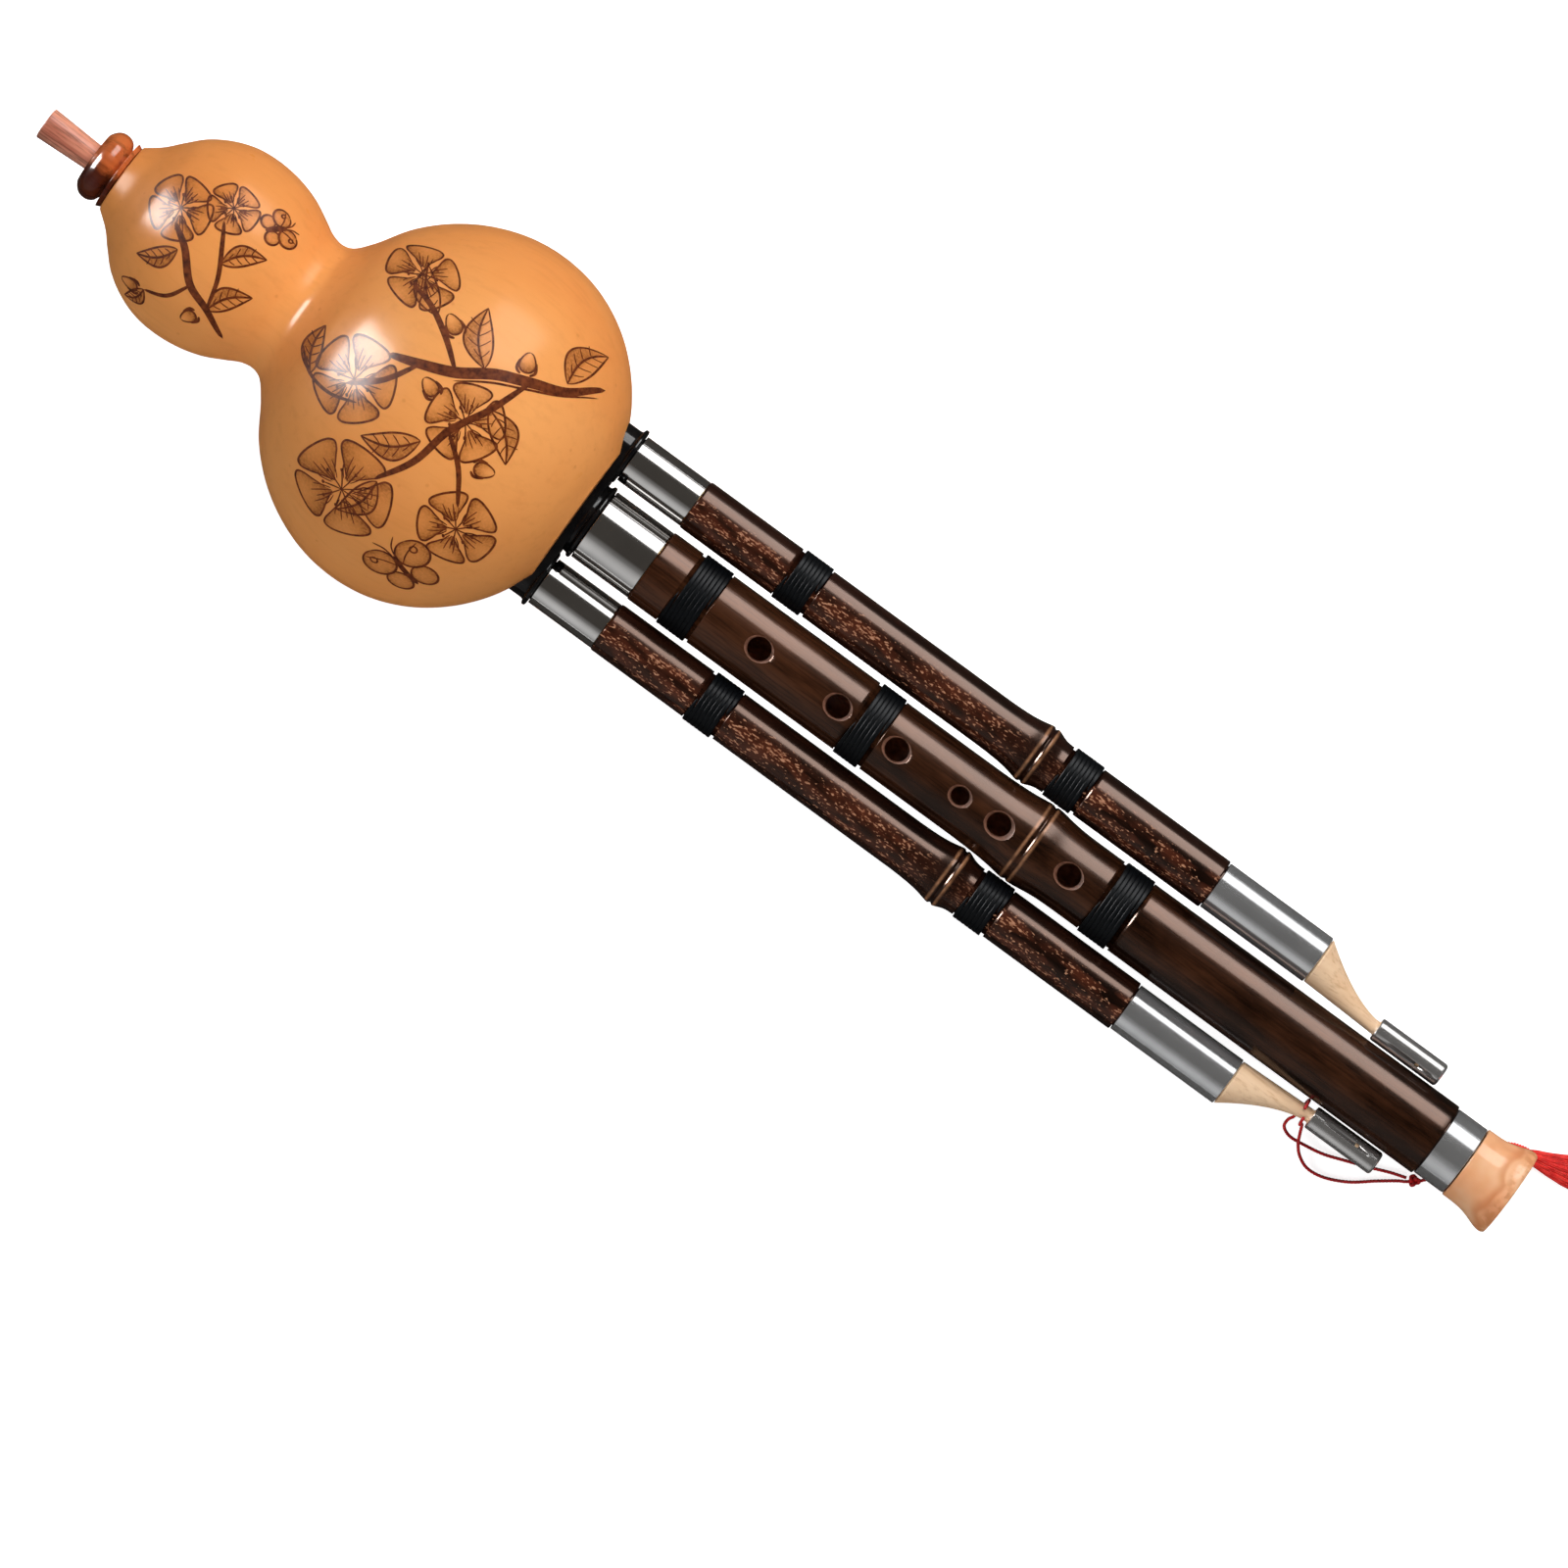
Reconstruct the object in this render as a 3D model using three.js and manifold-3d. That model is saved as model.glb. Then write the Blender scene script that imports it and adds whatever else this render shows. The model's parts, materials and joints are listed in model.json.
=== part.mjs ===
// Hulusi, a gourd wind chest with one finger pipe and two drone pipes, lying on its back.
// Millimetres, +Z up. The mouth end points to -X, the finger holes face up.
// Along is the distance from the mouth tip on the axis, side is +Y, front is the finger hole side.
import * as THREE from 'three';
import { mergeVertices } from 'three/addons/utils/BufferGeometryUtils.js';
import Module from 'manifold-3d';

const wasm = await Module();
wasm.setup();

// Driving dimensions
const clearance = 0.3;
const overrun = 1.5;

const mouth = { show: 14.6, tipRadius: 4.45, rootRadius: 3.85, bore: 2.2, reach: 13, round: 0.5 };
const collar = { length: 8.2, radius: 9.4, spigot: 7.5 };
const gourd = {
  length: 138.4, wall: 3.2, neckRadius: 9.3, neckBore: 7, neckSpare: 1,
  upperAt: 28.4, upperRadius: 26.2, upperRise: 26.8, upperFall: 31,
  waistAt: 53.2, waistRadius: 18.7,
  lowerAt: 99.2, lowerRadius: 48.4, lowerRise: 45.8, endRadius: 19.5,
};
const base = { plate: 1.9, skirt: 7, plug: 4, spigot: 4 };
const ferruleLength = 17.1;
const tenonGap = 1.3;
const pipeGap = 1.8;

// Steps are how far a radius lies inside, or a flange outside, the pipe's own radius
const main = {
  radius: 10, wall: 3.7, length: 237.9, ferruleStep: 0.3, ferruleWall: 0.7,
  collarRise: 2.4, neckStep: 0.4, flangeStep: 0.4, plugStep: 2.4, tenonWall: 0.7, socket: 8, tailStep: 1.7,
  nodeShare: 0.4826, nodeBefore: 18.6, nodeAfter: 7.4, nodeRise: 0.75, groove: 0.55,
  reedSeat: 2.1, reedWall: 0.8, plateLength: 26, plateWidth: 7, plateGap: 1.3,
};
const lowerFerrule = { length: 31, overlap: 11.3 };
const stopper = { cone: 20.3, rimStep: 0.3, neckRadius: 1.8, bore: 1.2, step: 1, nozzleGap: 1.3 };
const cap = {
  radius: 3.1, wall: 0.5, length: 19.7, endWall: 0.8, gap: 0.4, holeAt: 13, holeRadius: 0.6, holeTurn: 25,
};

// The drones are as much shorter as their feet need, so that the switches end short of the main pipe's foot
const footGap = 8.1;
const droneSlide = 3;
const droneFoot = lowerFerrule.length + stopper.cone + stopper.step + cap.length + 2 * clearance;
const drone = {
  radius: 6.8, wall: 2.9, length: main.length - footGap - droneFoot, ferruleStep: 0.3, ferruleWall: 0.6,
  collarRise: 0.5, neckStep: 0.2, flangeStep: 1, plugStep: 1.2, tenonWall: 0.6, socket: 8, tail: 10,
  nodeShare: 0.659, nodeBefore: 9.4, nodeAfter: 5.6, nodeRise: 1, groove: 0.55,
  reedSeat: 2, reedWall: 0.7, plateLength: 19, plateWidth: 5.4, plateGap: 3.3,
};
const thread = { width: 0.7, pitch: 1.15, steps: 14, corners: 4, margin: 0.25, nodeGap: 0.8 };
const fingerHole = 3.1;
const smallHole = 2.4;
const thumbHole = 3.2;
const ventHole = 3;
const fingerHoles = [
  { share: 0.14, radius: fingerHole }, { share: 0.24, radius: fingerHole },
  { share: 0.315, radius: fingerHole }, { share: 0.3955, radius: smallHole },
  { share: 0.445, radius: fingerHole }, { share: 0.534, radius: fingerHole },
];
const rearHoles = [
  { share: 0.099, radius: thumbHole }, { share: 0.664, radius: ventHole }, { share: 0.74, radius: ventHole },
];
const bevel = { width: 0.5, depth: 0.6 };
const reed = {
  endWall: 1, windowLengthShare: 0.72, windowWidthShare: 0.5, plate: 0.5, slit: 0.5, inset: 1.5,
};
const tailRing = { wall: 0.9, length: 8.5 };
const bell = { length: 13.5, wall: 1.2, flare: 2, throatStep: 0.3, lip: 1.3, roundShare: 0.25, socket: 3.2 };
const cord = { width: 0.9, stepShare: 3, loopLift: 0.55 };
const tassel = { knot: 1.75, headHalf: 1.85, headThick: 2.4, fringeHalf: 5.6, fringeThick: 4.8, lift: 0.1 };
const sides = { gourd: 32, bell: 24, collar: 20, main: 20, drone: 16, reed: 12, hole: 12, cord: 8, boat: 3 };

// Places along the axis
const collarAt = mouth.show;
const gourdAt = collarAt + collar.length + clearance;
const gourdEnd = gourdAt + gourd.length;
const plateEnd = gourdEnd + clearance + base.plate;
const plugAt = gourdEnd - gourd.wall - base.plug;
const mainCollarEnd = plateEnd + main.collarRise;
const tenonAt = mainCollarEnd + base.spigot + tenonGap;
const pipesAt = mainCollarEnd + clearance + ferruleLength + clearance;
const tailRingAt = pipesAt + main.length + clearance;
const bellAt = tailRingAt + tailRing.length + clearance;
const bellEnd = bellAt + bell.length;
const lowerFerruleAt = pipesAt + drone.length + clearance;
const stopperAt = lowerFerruleAt + lowerFerrule.length + clearance;
const neckEnd = stopperAt + stopper.cone;
const capAt = neckEnd + stopper.step;
const nozzleEnd = capAt + cap.length - cap.endWall - stopper.nozzleGap;

// Radii and places to the side that follow from them
const spacing = main.radius + drone.radius + pipeGap;
const stemSide = main.radius + cap.radius + cap.gap;
const tailRadius = main.radius - main.tailStep;
const tailSleeve = tailRadius + clearance;
const bellNeck = tailSleeve + bell.wall;
const bellRadius = bellNeck + bell.flare;
const nozzleRadius = cap.radius - cap.wall - clearance;

function ferruleRadius(pipe) {
  return pipe.radius - pipe.ferruleStep;
}

function spigotRadius(pipe) {
  return ferruleRadius(pipe) - pipe.ferruleWall - clearance;
}

function plugRadius(pipe) {
  return pipe.radius - pipe.plugStep;
}

function reedRadius(pipe) {
  return plugRadius(pipe) - pipe.reedSeat;
}

function collarEnd(pipe) {
  return plateEnd + pipe.collarRise;
}

function nodeMiddle(pipe) {
  return pipesAt + pipe.nodeShare * pipe.length;
}

const mainBands = [{ share: 0.037, turns: 7 }, { share: 0.2623, turns: 6 }, { share: 0.574, turns: 7 }];
const mainBindings = mainBands.map(({ share, turns }) => ({ from: pipesAt + share * main.length, turns }));
const firstBandShare = 0.1775;
const droneBindings = [
  { from: pipesAt + firstBandShare * drone.length, turns: 7 },
  { from: nodeMiddle(drone) + drone.nodeAfter + thread.nodeGap, turns: 7 },
];
const stopperRim = ferruleRadius(drone) - stopper.rimStep;

// Solids from closed surfaces
function closed(geometry) {
  geometry.deleteAttribute('normal');
  geometry.deleteAttribute('uv');
  const merged = mergeVertices(geometry);
  const corners = [];
  for (let i = 0; i < merged.index.count; i += 3) {
    const [a, b, c] = [0, 1, 2].map((k) => merged.index.getX(i + k));
    if (a !== b && b !== c && c !== a) corners.push(a, b, c);
  }
  merged.setIndex(corners);
  return merged;
}

function solid(geometry) {
  const mesh = closed(geometry);
  const vertProperties = new Float32Array(mesh.attributes.position.array);
  const triVerts = new Uint32Array(mesh.index.array);
  return new wasm.Manifold(new wasm.Mesh({ numProp: 3, vertProperties, triVerts }));
}

function surface(body) {
  const mesh = body.getMesh();
  const geometry = new THREE.BufferGeometry();
  geometry.setAttribute('position', new THREE.BufferAttribute(mesh.vertProperties, 3));
  geometry.setIndex(new THREE.BufferAttribute(mesh.triVerts, 1));
  return geometry;
}

// An outline of [along, radius] points, out along the outside and back inside, turned about the axis
function turned(outline, count, side = 0) {
  const points = outline.map(([along, radius]) => new THREE.Vector2(radius, along));
  const geometry = new THREE.LatheGeometry([...points, points[0]], count, Math.PI / count);
  geometry.rotateZ(-Math.PI / 2);
  return closed(geometry.translate(0, side, 0));
}

function sleeve(from, to, outer, inner, count, side = 0) {
  return turned([[from, outer], [to, outer], [to, inner], [from, inner]], count, side);
}

function rod(from, to, radius, count, side = 0) {
  return turned([[from, 0], [from, radius], [to, radius], [to, 0]], count, side);
}

// A flat shape in front and side, carried along the axis
function bar(shape, from, to) {
  const settings = { depth: to - from, bevelEnabled: false, curveSegments: sides.boat };
  const geometry = new THREE.ExtrudeGeometry(shape, settings);
  return geometry.rotateY(Math.PI / 2).translate(from, 0, 0);
}

// Rings of points joined into one closed skin with flat ends
function loft(rings) {
  const count = rings[0].length;
  const positions = rings.flat().flatMap((point) => point.toArray());
  const corners = [];
  for (let i = 0; i + 1 < rings.length; i += 1) {
    for (let k = 0; k < count; k += 1) {
      const [a, b] = [i * count + k, i * count + ((k + 1) % count)];
      corners.push(a, a + count, b, a + count, b + count, b);
    }
  }
  const last = (rings.length - 1) * count;
  for (let k = 1; k + 1 < count; k += 1) {
    corners.push(0, k, k + 1, last, last + k + 1, last + k);
  }
  const geometry = new THREE.BufferGeometry();
  geometry.setAttribute('position', new THREE.Float32BufferAttribute(positions, 3));
  geometry.setIndex(corners);
  return geometry;
}

// Gourd outline, two lobes of quarter ellipses joined by a waist
const shoulderAngle = -THREE.MathUtils.degToRad(52);
const upperEndAngle = THREE.MathUtils.degToRad(36.6);
const lowerStartAngle = -THREE.MathUtils.degToRad(60.3);
const neckSlopeAngle = THREE.MathUtils.degToRad(31);
const bendShare = 1 / 3;

function blend(from, fromWay, to, toWay) {
  const reach = from.distanceTo(to) * bendShare;
  const early = from.clone().addScaledVector(fromWay, reach);
  const late = to.clone().addScaledVector(toWay, -reach);
  return new THREE.CubicBezierCurve(from, early, late, to);
}

function gourdOutline(inset, start, startWay, steps) {
  const lowerFall = (gourd.length - gourd.lowerAt)
    / Math.sqrt(1 - (gourd.endRadius / gourd.lowerRadius) ** 2);
  const endAngle = Math.asin((gourd.length - gourd.lowerAt - inset) / (lowerFall - inset));
  const arc = (at, across, reach, from, to) => new THREE.EllipseCurve(
    0, gourdAt + at, across - inset, reach - inset, from, to);
  const upperFront = arc(gourd.upperAt, gourd.upperRadius, gourd.upperRise, shoulderAngle, 0);
  const upperBack = arc(gourd.upperAt, gourd.upperRadius, gourd.upperFall, 0, upperEndAngle);
  const lowerFront = arc(gourd.lowerAt, gourd.lowerRadius, gourd.lowerRise, lowerStartAngle, 0);
  const lowerBack = arc(gourd.lowerAt, gourd.lowerRadius, lowerFall, 0, endAngle);
  const waist = new THREE.Vector2(gourd.waistRadius - inset, gourdAt + gourd.waistAt);
  const straight = new THREE.Vector2(0, 1);
  const curves = [
    blend(start, startWay, upperFront.getPoint(0), upperFront.getTangent(0)), upperFront, upperBack,
    blend(upperBack.getPoint(1), upperBack.getTangent(1), waist, straight),
    blend(waist, straight, lowerFront.getPoint(0), lowerFront.getTangent(0)), lowerFront, lowerBack,
  ];
  const points = curves.flatMap((curve, i) => curve.getPoints(steps[i]).slice(i === 0 ? 0 : 1));
  return points.map((point) => [point.y, point.x]);
}

function gourdOutside(inset) {
  const start = new THREE.Vector2(gourd.neckRadius - inset, gourdAt);
  const startWay = new THREE.Vector2(Math.sin(neckSlopeAngle), Math.cos(neckSlopeAngle));
  return gourdOutline(inset, start, startWay, [2, 4, 3, 2, 2, 5, 5]);
}

function gourdInside() {
  const start = new THREE.Vector2(gourd.neckBore, gourdAt + collar.spigot + gourd.neckSpare);
  return gourdOutline(gourd.wall, start, new THREE.Vector2(1, 0), [1, 2, 2, 2, 1, 3, 3]);
}

// A boat outline round the main pipe's circle and the two drone circles
function boat(middle, ends) {
  const half = Math.acos((middle - ends) / spacing);
  const quarter = Math.PI / 2;
  const shape = new THREE.Shape();
  shape.absarc(0, spacing, ends, quarter - half, quarter + half, false);
  shape.absarc(0, 0, middle, quarter + half, 3 * quarter - half, false);
  shape.absarc(0, -spacing, ends, 3 * quarter - half, 3 * quarter + half, false);
  shape.absarc(0, 0, middle, 3 * quarter + half, 5 * quarter - half, false);
  return shape;
}

function gourdShell() {
  const core = plugRadius(drone) / 2;
  const inside = [[gourdAt, gourd.neckBore], ...gourdInside(), [gourdEnd - gourd.wall, core]];
  const skin = turned([...gourdOutside(0), [gourdEnd, core], ...inside.reverse()], sides.gourd);
  const hole = boat(plugRadius(main) + clearance, plugRadius(drone) + clearance);
  const cut = bar(hole, plugAt, gourdEnd + overrun);
  return surface(solid(skin).subtract(solid(cut)));
}

// Mouthpiece tube and its turned collar
function mouthpieceTube() {
  const end = gourdAt + mouth.reach;
  return turned([
    [0, mouth.tipRadius - mouth.round], [mouth.round, mouth.tipRadius], [collarAt, mouth.rootRadius],
    [end, mouth.rootRadius], [end, mouth.bore], [0, mouth.bore],
  ], sides.main);
}

const collarShares = [
  [0, 0.58], [0.12, 0.8], [0.3, 0.95], [0.5, 1], [0.62, 0.98], [0.74, 0.93], [0.86, 0.96],
];

function mouthpieceCollar() {
  const end = collarAt + collar.length;
  const spigot = gourd.neckBore - clearance;
  const bore = mouth.rootRadius + clearance;
  return turned([
    ...collarShares.map(([share, size]) => [collarAt + share * collar.length, size * collar.radius]),
    [end, gourd.neckRadius], [end, spigot], [end + collar.spigot, spigot], [end + collar.spigot, bore],
    [collarAt, bore],
  ], sides.collar);
}

// Base block on the gourd's end, with a spool collar and a spigot for each pipe
const spoolShares = [[0.5, 1], [0.125, 1], [0, 0.75]];

function spool(pipe, side) {
  const neck = pipe.radius - pipe.neckStep;
  const lip = pipe.neckStep + pipe.flangeStep;
  const [from, to] = [gourdEnd - base.skirt, collarEnd(pipe)];
  const rim = spoolShares.map(([back, rise]) => [to - back * lip, neck + rise * lip]);
  const outline = [[from, 0], [from, neck], [to - lip - clearance, neck], ...rim, [to, 0]];
  return solid(turned(outline, sides.collar, side));
}

function pipeSides(pipe) {
  return pipe === main ? sides.main : sides.drone;
}

const pipes = [
  { name: 'main', pipe: main, side: 0 },
  { name: 'left', pipe: drone, side: spacing },
  { name: 'right', pipe: drone, side: -spacing },
];

function gourdBase() {
  const edge = boat(main.radius - main.neckStep, drone.radius - drone.neckStep);
  let body = solid(bar(edge, gourdEnd - base.skirt, plateEnd));
  for (const { pipe, side } of pipes) body = body.add(spool(pipe, side));
  const grown = [[gourdAt, 0], ...gourdOutside(-clearance), [gourdEnd + clearance, 0]];
  body = body.subtract(solid(turned(grown, sides.gourd)));
  body = body.add(solid(bar(boat(plugRadius(main), plugRadius(drone)), plugAt, plateEnd)));
  for (const { pipe, side } of pipes) {
    const [root, end] = [collarEnd(pipe) - base.plate, collarEnd(pipe) + base.spigot];
    const spigot = rod(root, end, spigotRadius(pipe), pipeSides(pipe), side);
    const bore = rod(plugAt - overrun, end + overrun, reedRadius(pipe) + clearance, sides.reed, side);
    body = body.add(solid(spigot)).subtract(solid(bore));
  }
  return surface(body);
}

// Metal ferrule on the base, and the tube in the pipe that slides in it
function upperFerrule({ pipe, side }) {
  const from = collarEnd(pipe) + clearance;
  const outer = ferruleRadius(pipe);
  return sleeve(from, pipesAt - clearance, outer, outer - pipe.ferruleWall, pipeSides(pipe), side);
}

function tenonTube({ pipe, side }) {
  const outer = spigotRadius(pipe);
  const end = pipesAt + pipe.socket - clearance;
  return sleeve(tenonAt, end, outer, outer - pipe.tenonWall, pipeSides(pipe), side);
}

// Reed tube in the wind chest, closed at its end, with a window under the reed plate
function reedStart(pipe) {
  return plugAt - pipe.plateGap - pipe.plateLength - reed.inset;
}

function plateMiddle(pipe) {
  return reedStart(pipe) + reed.inset + pipe.plateLength / 2;
}

function reedTube({ pipe, side }) {
  const [from, to] = [reedStart(pipe), collarEnd(pipe) + base.spigot];
  const outer = reedRadius(pipe);
  const inner = outer - pipe.reedWall;
  const tube = turned([
    [from, 0], [from, outer], [to, outer], [to, inner],
    [from + reed.endWall, inner], [from + reed.endWall, 0],
  ], sides.reed, side);
  const window = new THREE.BoxGeometry(
    pipe.plateLength * reed.windowLengthShare, pipe.plateWidth * reed.windowWidthShare, outer);
  window.translate(plateMiddle(pipe), side, outer);
  return surface(solid(tube).subtract(solid(window)));
}

const tongueShares = { from: -0.34, to: 0.34, half: 0.2 };

function reedPlate({ pipe, side }) {
  const [half, across] = [pipe.plateLength / 2, pipe.plateWidth / 2];
  const shape = new THREE.Shape();
  shape.moveTo(-half, -across);
  shape.lineTo(half, -across);
  shape.lineTo(half, across);
  shape.lineTo(-half, across);
  const [from, to] = [tongueShares.from * pipe.plateLength, tongueShares.to * pipe.plateLength];
  const tongue = tongueShares.half * pipe.plateWidth;
  const slit = new THREE.Path();
  slit.moveTo(to, -tongue - reed.slit);
  slit.lineTo(from - reed.slit, -tongue - reed.slit);
  slit.lineTo(from - reed.slit, tongue + reed.slit);
  slit.lineTo(to, tongue + reed.slit);
  slit.lineTo(to, tongue);
  slit.lineTo(from, tongue);
  slit.lineTo(from, -tongue);
  slit.lineTo(to, -tongue);
  shape.holes.push(slit);
  const geometry = new THREE.ExtrudeGeometry(shape, { depth: reed.plate, bevelEnabled: false });
  return geometry.translate(plateMiddle(pipe), side, reedRadius(pipe) + clearance);
}

// Bamboo pipes with thread grooves, a swollen node and a turned-down tail
const nodeShares = [
  [-1, 0], [-0.5, 0.22], [-0.2, 0.6], [-0.05, 1], [0, 0.65], [0.12, 0.95], [0.35, 0.4], [1, 0],
];

function bandLength(turns) {
  return turns * thread.pitch + thread.width;
}

function pipeOutline(pipe, bindings, footRadius, foot) {
  const outer = [];
  for (const { from, turns } of bindings) {
    const [low, high] = [from - thread.margin, from + bandLength(turns) + thread.margin];
    const floor = pipe.radius - pipe.groove;
    outer.push([low, pipe.radius], [low, floor], [high, floor], [high, pipe.radius]);
  }
  for (const [place, rise] of nodeShares) {
    const reach = place < 0 ? pipe.nodeBefore : pipe.nodeAfter;
    outer.push([nodeMiddle(pipe) + place * reach, pipe.radius + rise * pipe.nodeRise]);
  }
  outer.sort((one, other) => one[0] - other[0]);
  const end = pipesAt + pipe.length;
  const bore = pipe.radius - pipe.wall;
  const socketRadius = spigotRadius(pipe) + clearance;
  return [
    [pipesAt, pipe.radius], ...outer, [end, pipe.radius], [end, footRadius], [end + foot, footRadius],
    [end + foot, bore], [pipesAt + pipe.socket, bore], [pipesAt + pipe.socket, socketRadius],
    [pipesAt, socketRadius],
  ];
}

// A hole cutter that stands on the axis, with a bevel where it meets the skin
function holeCutter(radius, skin) {
  const spread = bevel.width * (bevel.depth + overrun) / bevel.depth;
  const top = skin + overrun;
  const points = [[0, 0], [radius, 0], [radius, skin - bevel.depth], [radius + spread, top], [0, top]];
  const geometry = new THREE.LatheGeometry(points.map(([x, y]) => new THREE.Vector2(x, y)), sides.hole);
  return geometry.rotateX(Math.PI / 2);
}

function mainPipe() {
  const foot = bellAt + bell.socket - pipesAt - main.length;
  let body = solid(turned(pipeOutline(main, mainBindings, tailRadius, foot), sides.main));
  for (const { share, radius } of fingerHoles) {
    const cutter = holeCutter(radius, main.radius);
    body = body.subtract(solid(cutter.translate(pipesAt + share * main.length, 0, 0)));
  }
  for (const { share, radius } of rearHoles) {
    const cutter = holeCutter(radius, main.radius).rotateX(Math.PI);
    body = body.subtract(solid(cutter.translate(pipesAt + share * main.length, 0, 0)));
  }
  return surface(body);
}

function dronePipe(side) {
  return turned(pipeOutline(drone, droneBindings, spigotRadius(drone), drone.tail), sides.drone, side);
}

// Thread binding, one unbroken thread wound side by side in its groove
function threadRadius(pipe) {
  const inner = pipe.radius - pipe.groove + clearance;
  const middle = inner + thread.width / 2;
  return middle / Math.cos(Math.PI / thread.steps);
}

function leastGap(points, apart, width) {
  let least = Infinity;
  for (let i = 0; i < points.length; i += 1) {
    for (let k = i + apart; k < points.length; k += 1) {
      least = Math.min(least, points[i].distanceTo(points[k]));
    }
  }
  return least - width;
}

function binding(pipe, { from, turns }, side, name) {
  const rings = [];
  const middles = [];
  const around = threadRadius(pipe);
  const first = from + thread.width / 2;
  for (let i = 0; i <= turns * thread.steps; i += 1) {
    const angle = 2 * Math.PI * i / thread.steps;
    const along = first + thread.pitch * i / thread.steps;
    const place = (radius, offset) => new THREE.Vector3(
      along + offset, side - radius * Math.sin(angle), radius * Math.cos(angle));
    middles.push(place(around, 0));
    rings.push(Array.from({ length: thread.corners }, (_, k) => {
      const turn = 2 * Math.PI * k / thread.corners;
      return place(around + thread.width / 2 * Math.cos(turn), thread.width / 2 * Math.sin(turn));
    }));
  }
  const gap = leastGap(middles, Math.round(thread.steps / 2), thread.width);
  console.log(`${name}: least gap between turns ${gap.toFixed(2)} mm`);
  return loft(rings);
}

// Tail ring and flared bell at the foot of the main pipe
function tailRingTube() {
  const end = tailRingAt + tailRing.length;
  return sleeve(tailRingAt, end, tailSleeve + tailRing.wall, tailSleeve, sides.collar);
}

const bellShares = [[0, 0], [0.3, 0.08], [0.5, 0.26], [0.68, 0.55], [0.84, 0.9], [0.92, 1]];
const throatShares = [[0, 0], [0.4, 0.2], [0.75, 0.62], [1, 1]];

function bellOutside() {
  const wall = bellShares.map(([share, rise]) => [
    bellAt + share * bell.length, bellNeck + rise * bell.flare]);
  return [...wall, [bellEnd, bellRadius - bell.lip * bell.roundShare]];
}

function bellTube() {
  const socketEnd = bellAt + bell.socket + clearance;
  const narrow = main.radius - main.wall + bell.throatStep;
  const throat = throatShares.map(([share, rise]) => [
    socketEnd + share * (bellEnd - socketEnd), narrow + rise * (bellRadius - bell.lip - narrow)]);
  return turned([
    ...bellOutside(), ...throat.reverse(), [socketEnd, tailSleeve], [bellAt, tailSleeve],
  ], sides.bell);
}

// Drone foot: a ferrule, a stopper scooped towards the main pipe, and a sliding switch cap
function lowerFerruleTube(side) {
  const [outer, inner] = [ferruleRadius(drone), spigotRadius(drone) + clearance];
  return sleeve(lowerFerruleAt, lowerFerruleAt + lowerFerrule.length, outer, inner, sides.drone, side);
}

const coneShares = [[0, 1], [0.06, 0.9], [0.3, 0.58], [0.53, 0.29], [0.76, 0.1], [1, 0]];

function coneShare(along) {
  return THREE.MathUtils.clamp((along - stopperAt) / stopper.cone, 0, 1);
}

function stopperRadius(share) {
  const next = coneShares.findIndex(([place]) => place >= share);
  const [place, size] = coneShares[next];
  const [before, sizeBefore] = coneShares[Math.max(next - 1, 0)];
  const part = place > before ? (share - before) / (place - before) : 1;
  const fall = sizeBefore + part * (size - sizeBefore);
  return stopper.neckRadius + fall * (stopperRim - stopper.neckRadius);
}

// How far the stopper's middle has moved towards the main pipe, so that its inner edge stays straight
function stopperShift(along) {
  const share = coneShare(along);
  const inner = THREE.MathUtils.lerp(spacing - stopperRim, stemSide - stopper.neckRadius, share);
  return inner + stopperRadius(share) - spacing;
}

function stopperBody(side) {
  const plug = spigotRadius(drone);
  const cone = coneShares.map(([share]) => [stopperAt + share * stopper.cone, stopperRadius(share)]);
  const outer = [
    [stopperAt - lowerFerrule.overlap, plug], [stopperAt, plug], ...cone, [capAt, nozzleRadius],
    [nozzleEnd, nozzleRadius],
  ];
  const places = [...new Set(outer.map(([along]) => along))];
  const bored = places.map((along) => [along, stopper.bore]);
  const geometry = turned([...outer, ...bored.reverse()], sides.reed);
  const position = geometry.attributes.position;
  for (let i = 0; i < position.count; i += 1) {
    const shift = spacing + stopperShift(position.getX(i));
    position.setY(i, position.getY(i) + Math.sign(side) * shift);
  }
  return geometry;
}

function switchCap(side) {
  const [from, to] = [capAt, capAt + cap.length];
  const inner = cap.radius - cap.wall;
  const shell = turned([
    [from, cap.radius], [to - cap.wall, cap.radius], [to, inner], [to, 0],
    [to - cap.endWall, 0], [to - cap.endWall, inner], [from, inner],
  ], sides.drone);
  const drill = new THREE.CylinderGeometry(cap.holeRadius, cap.holeRadius, cap.radius + overrun, sides.cord);
  drill.rotateX(Math.PI / 2).translate(0, 0, (cap.radius + overrun) / 2);
  drill.rotateX(Math.sign(side) * THREE.MathUtils.degToRad(cap.holeTurn)).translate(from + cap.holeAt, 0, 0);
  return surface(solid(shell).subtract(solid(drill))).translate(0, Math.sign(side) * stemSide, 0);
}

// Lean of the axis when the gourd's lower lobe and the bell's rim both touch the ground
function reachBelow(outline, count, lean) {
  const flat = Math.cos(Math.PI / count);
  const [slope, upright] = [Math.sin(lean), flat * Math.cos(lean)];
  return Math.max(...outline.map(([along, radius]) => along * slope + radius * upright));
}

const steepest = THREE.MathUtils.degToRad(30);

function restLean() {
  let [low, high] = [0, steepest];
  while (high - low > Number.EPSILON) {
    const lean = (low + high) / 2;
    const foot = reachBelow(bellOutside(), sides.bell, lean);
    if (foot < reachBelow(gourdOutside(0), sides.gourd, lean)) low = lean;
    else high = lean;
  }
  return (low + high) / 2;
}

const lean = restLean();
const groundDrop = reachBelow(gourdOutside(0), sides.gourd, lean);

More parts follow.
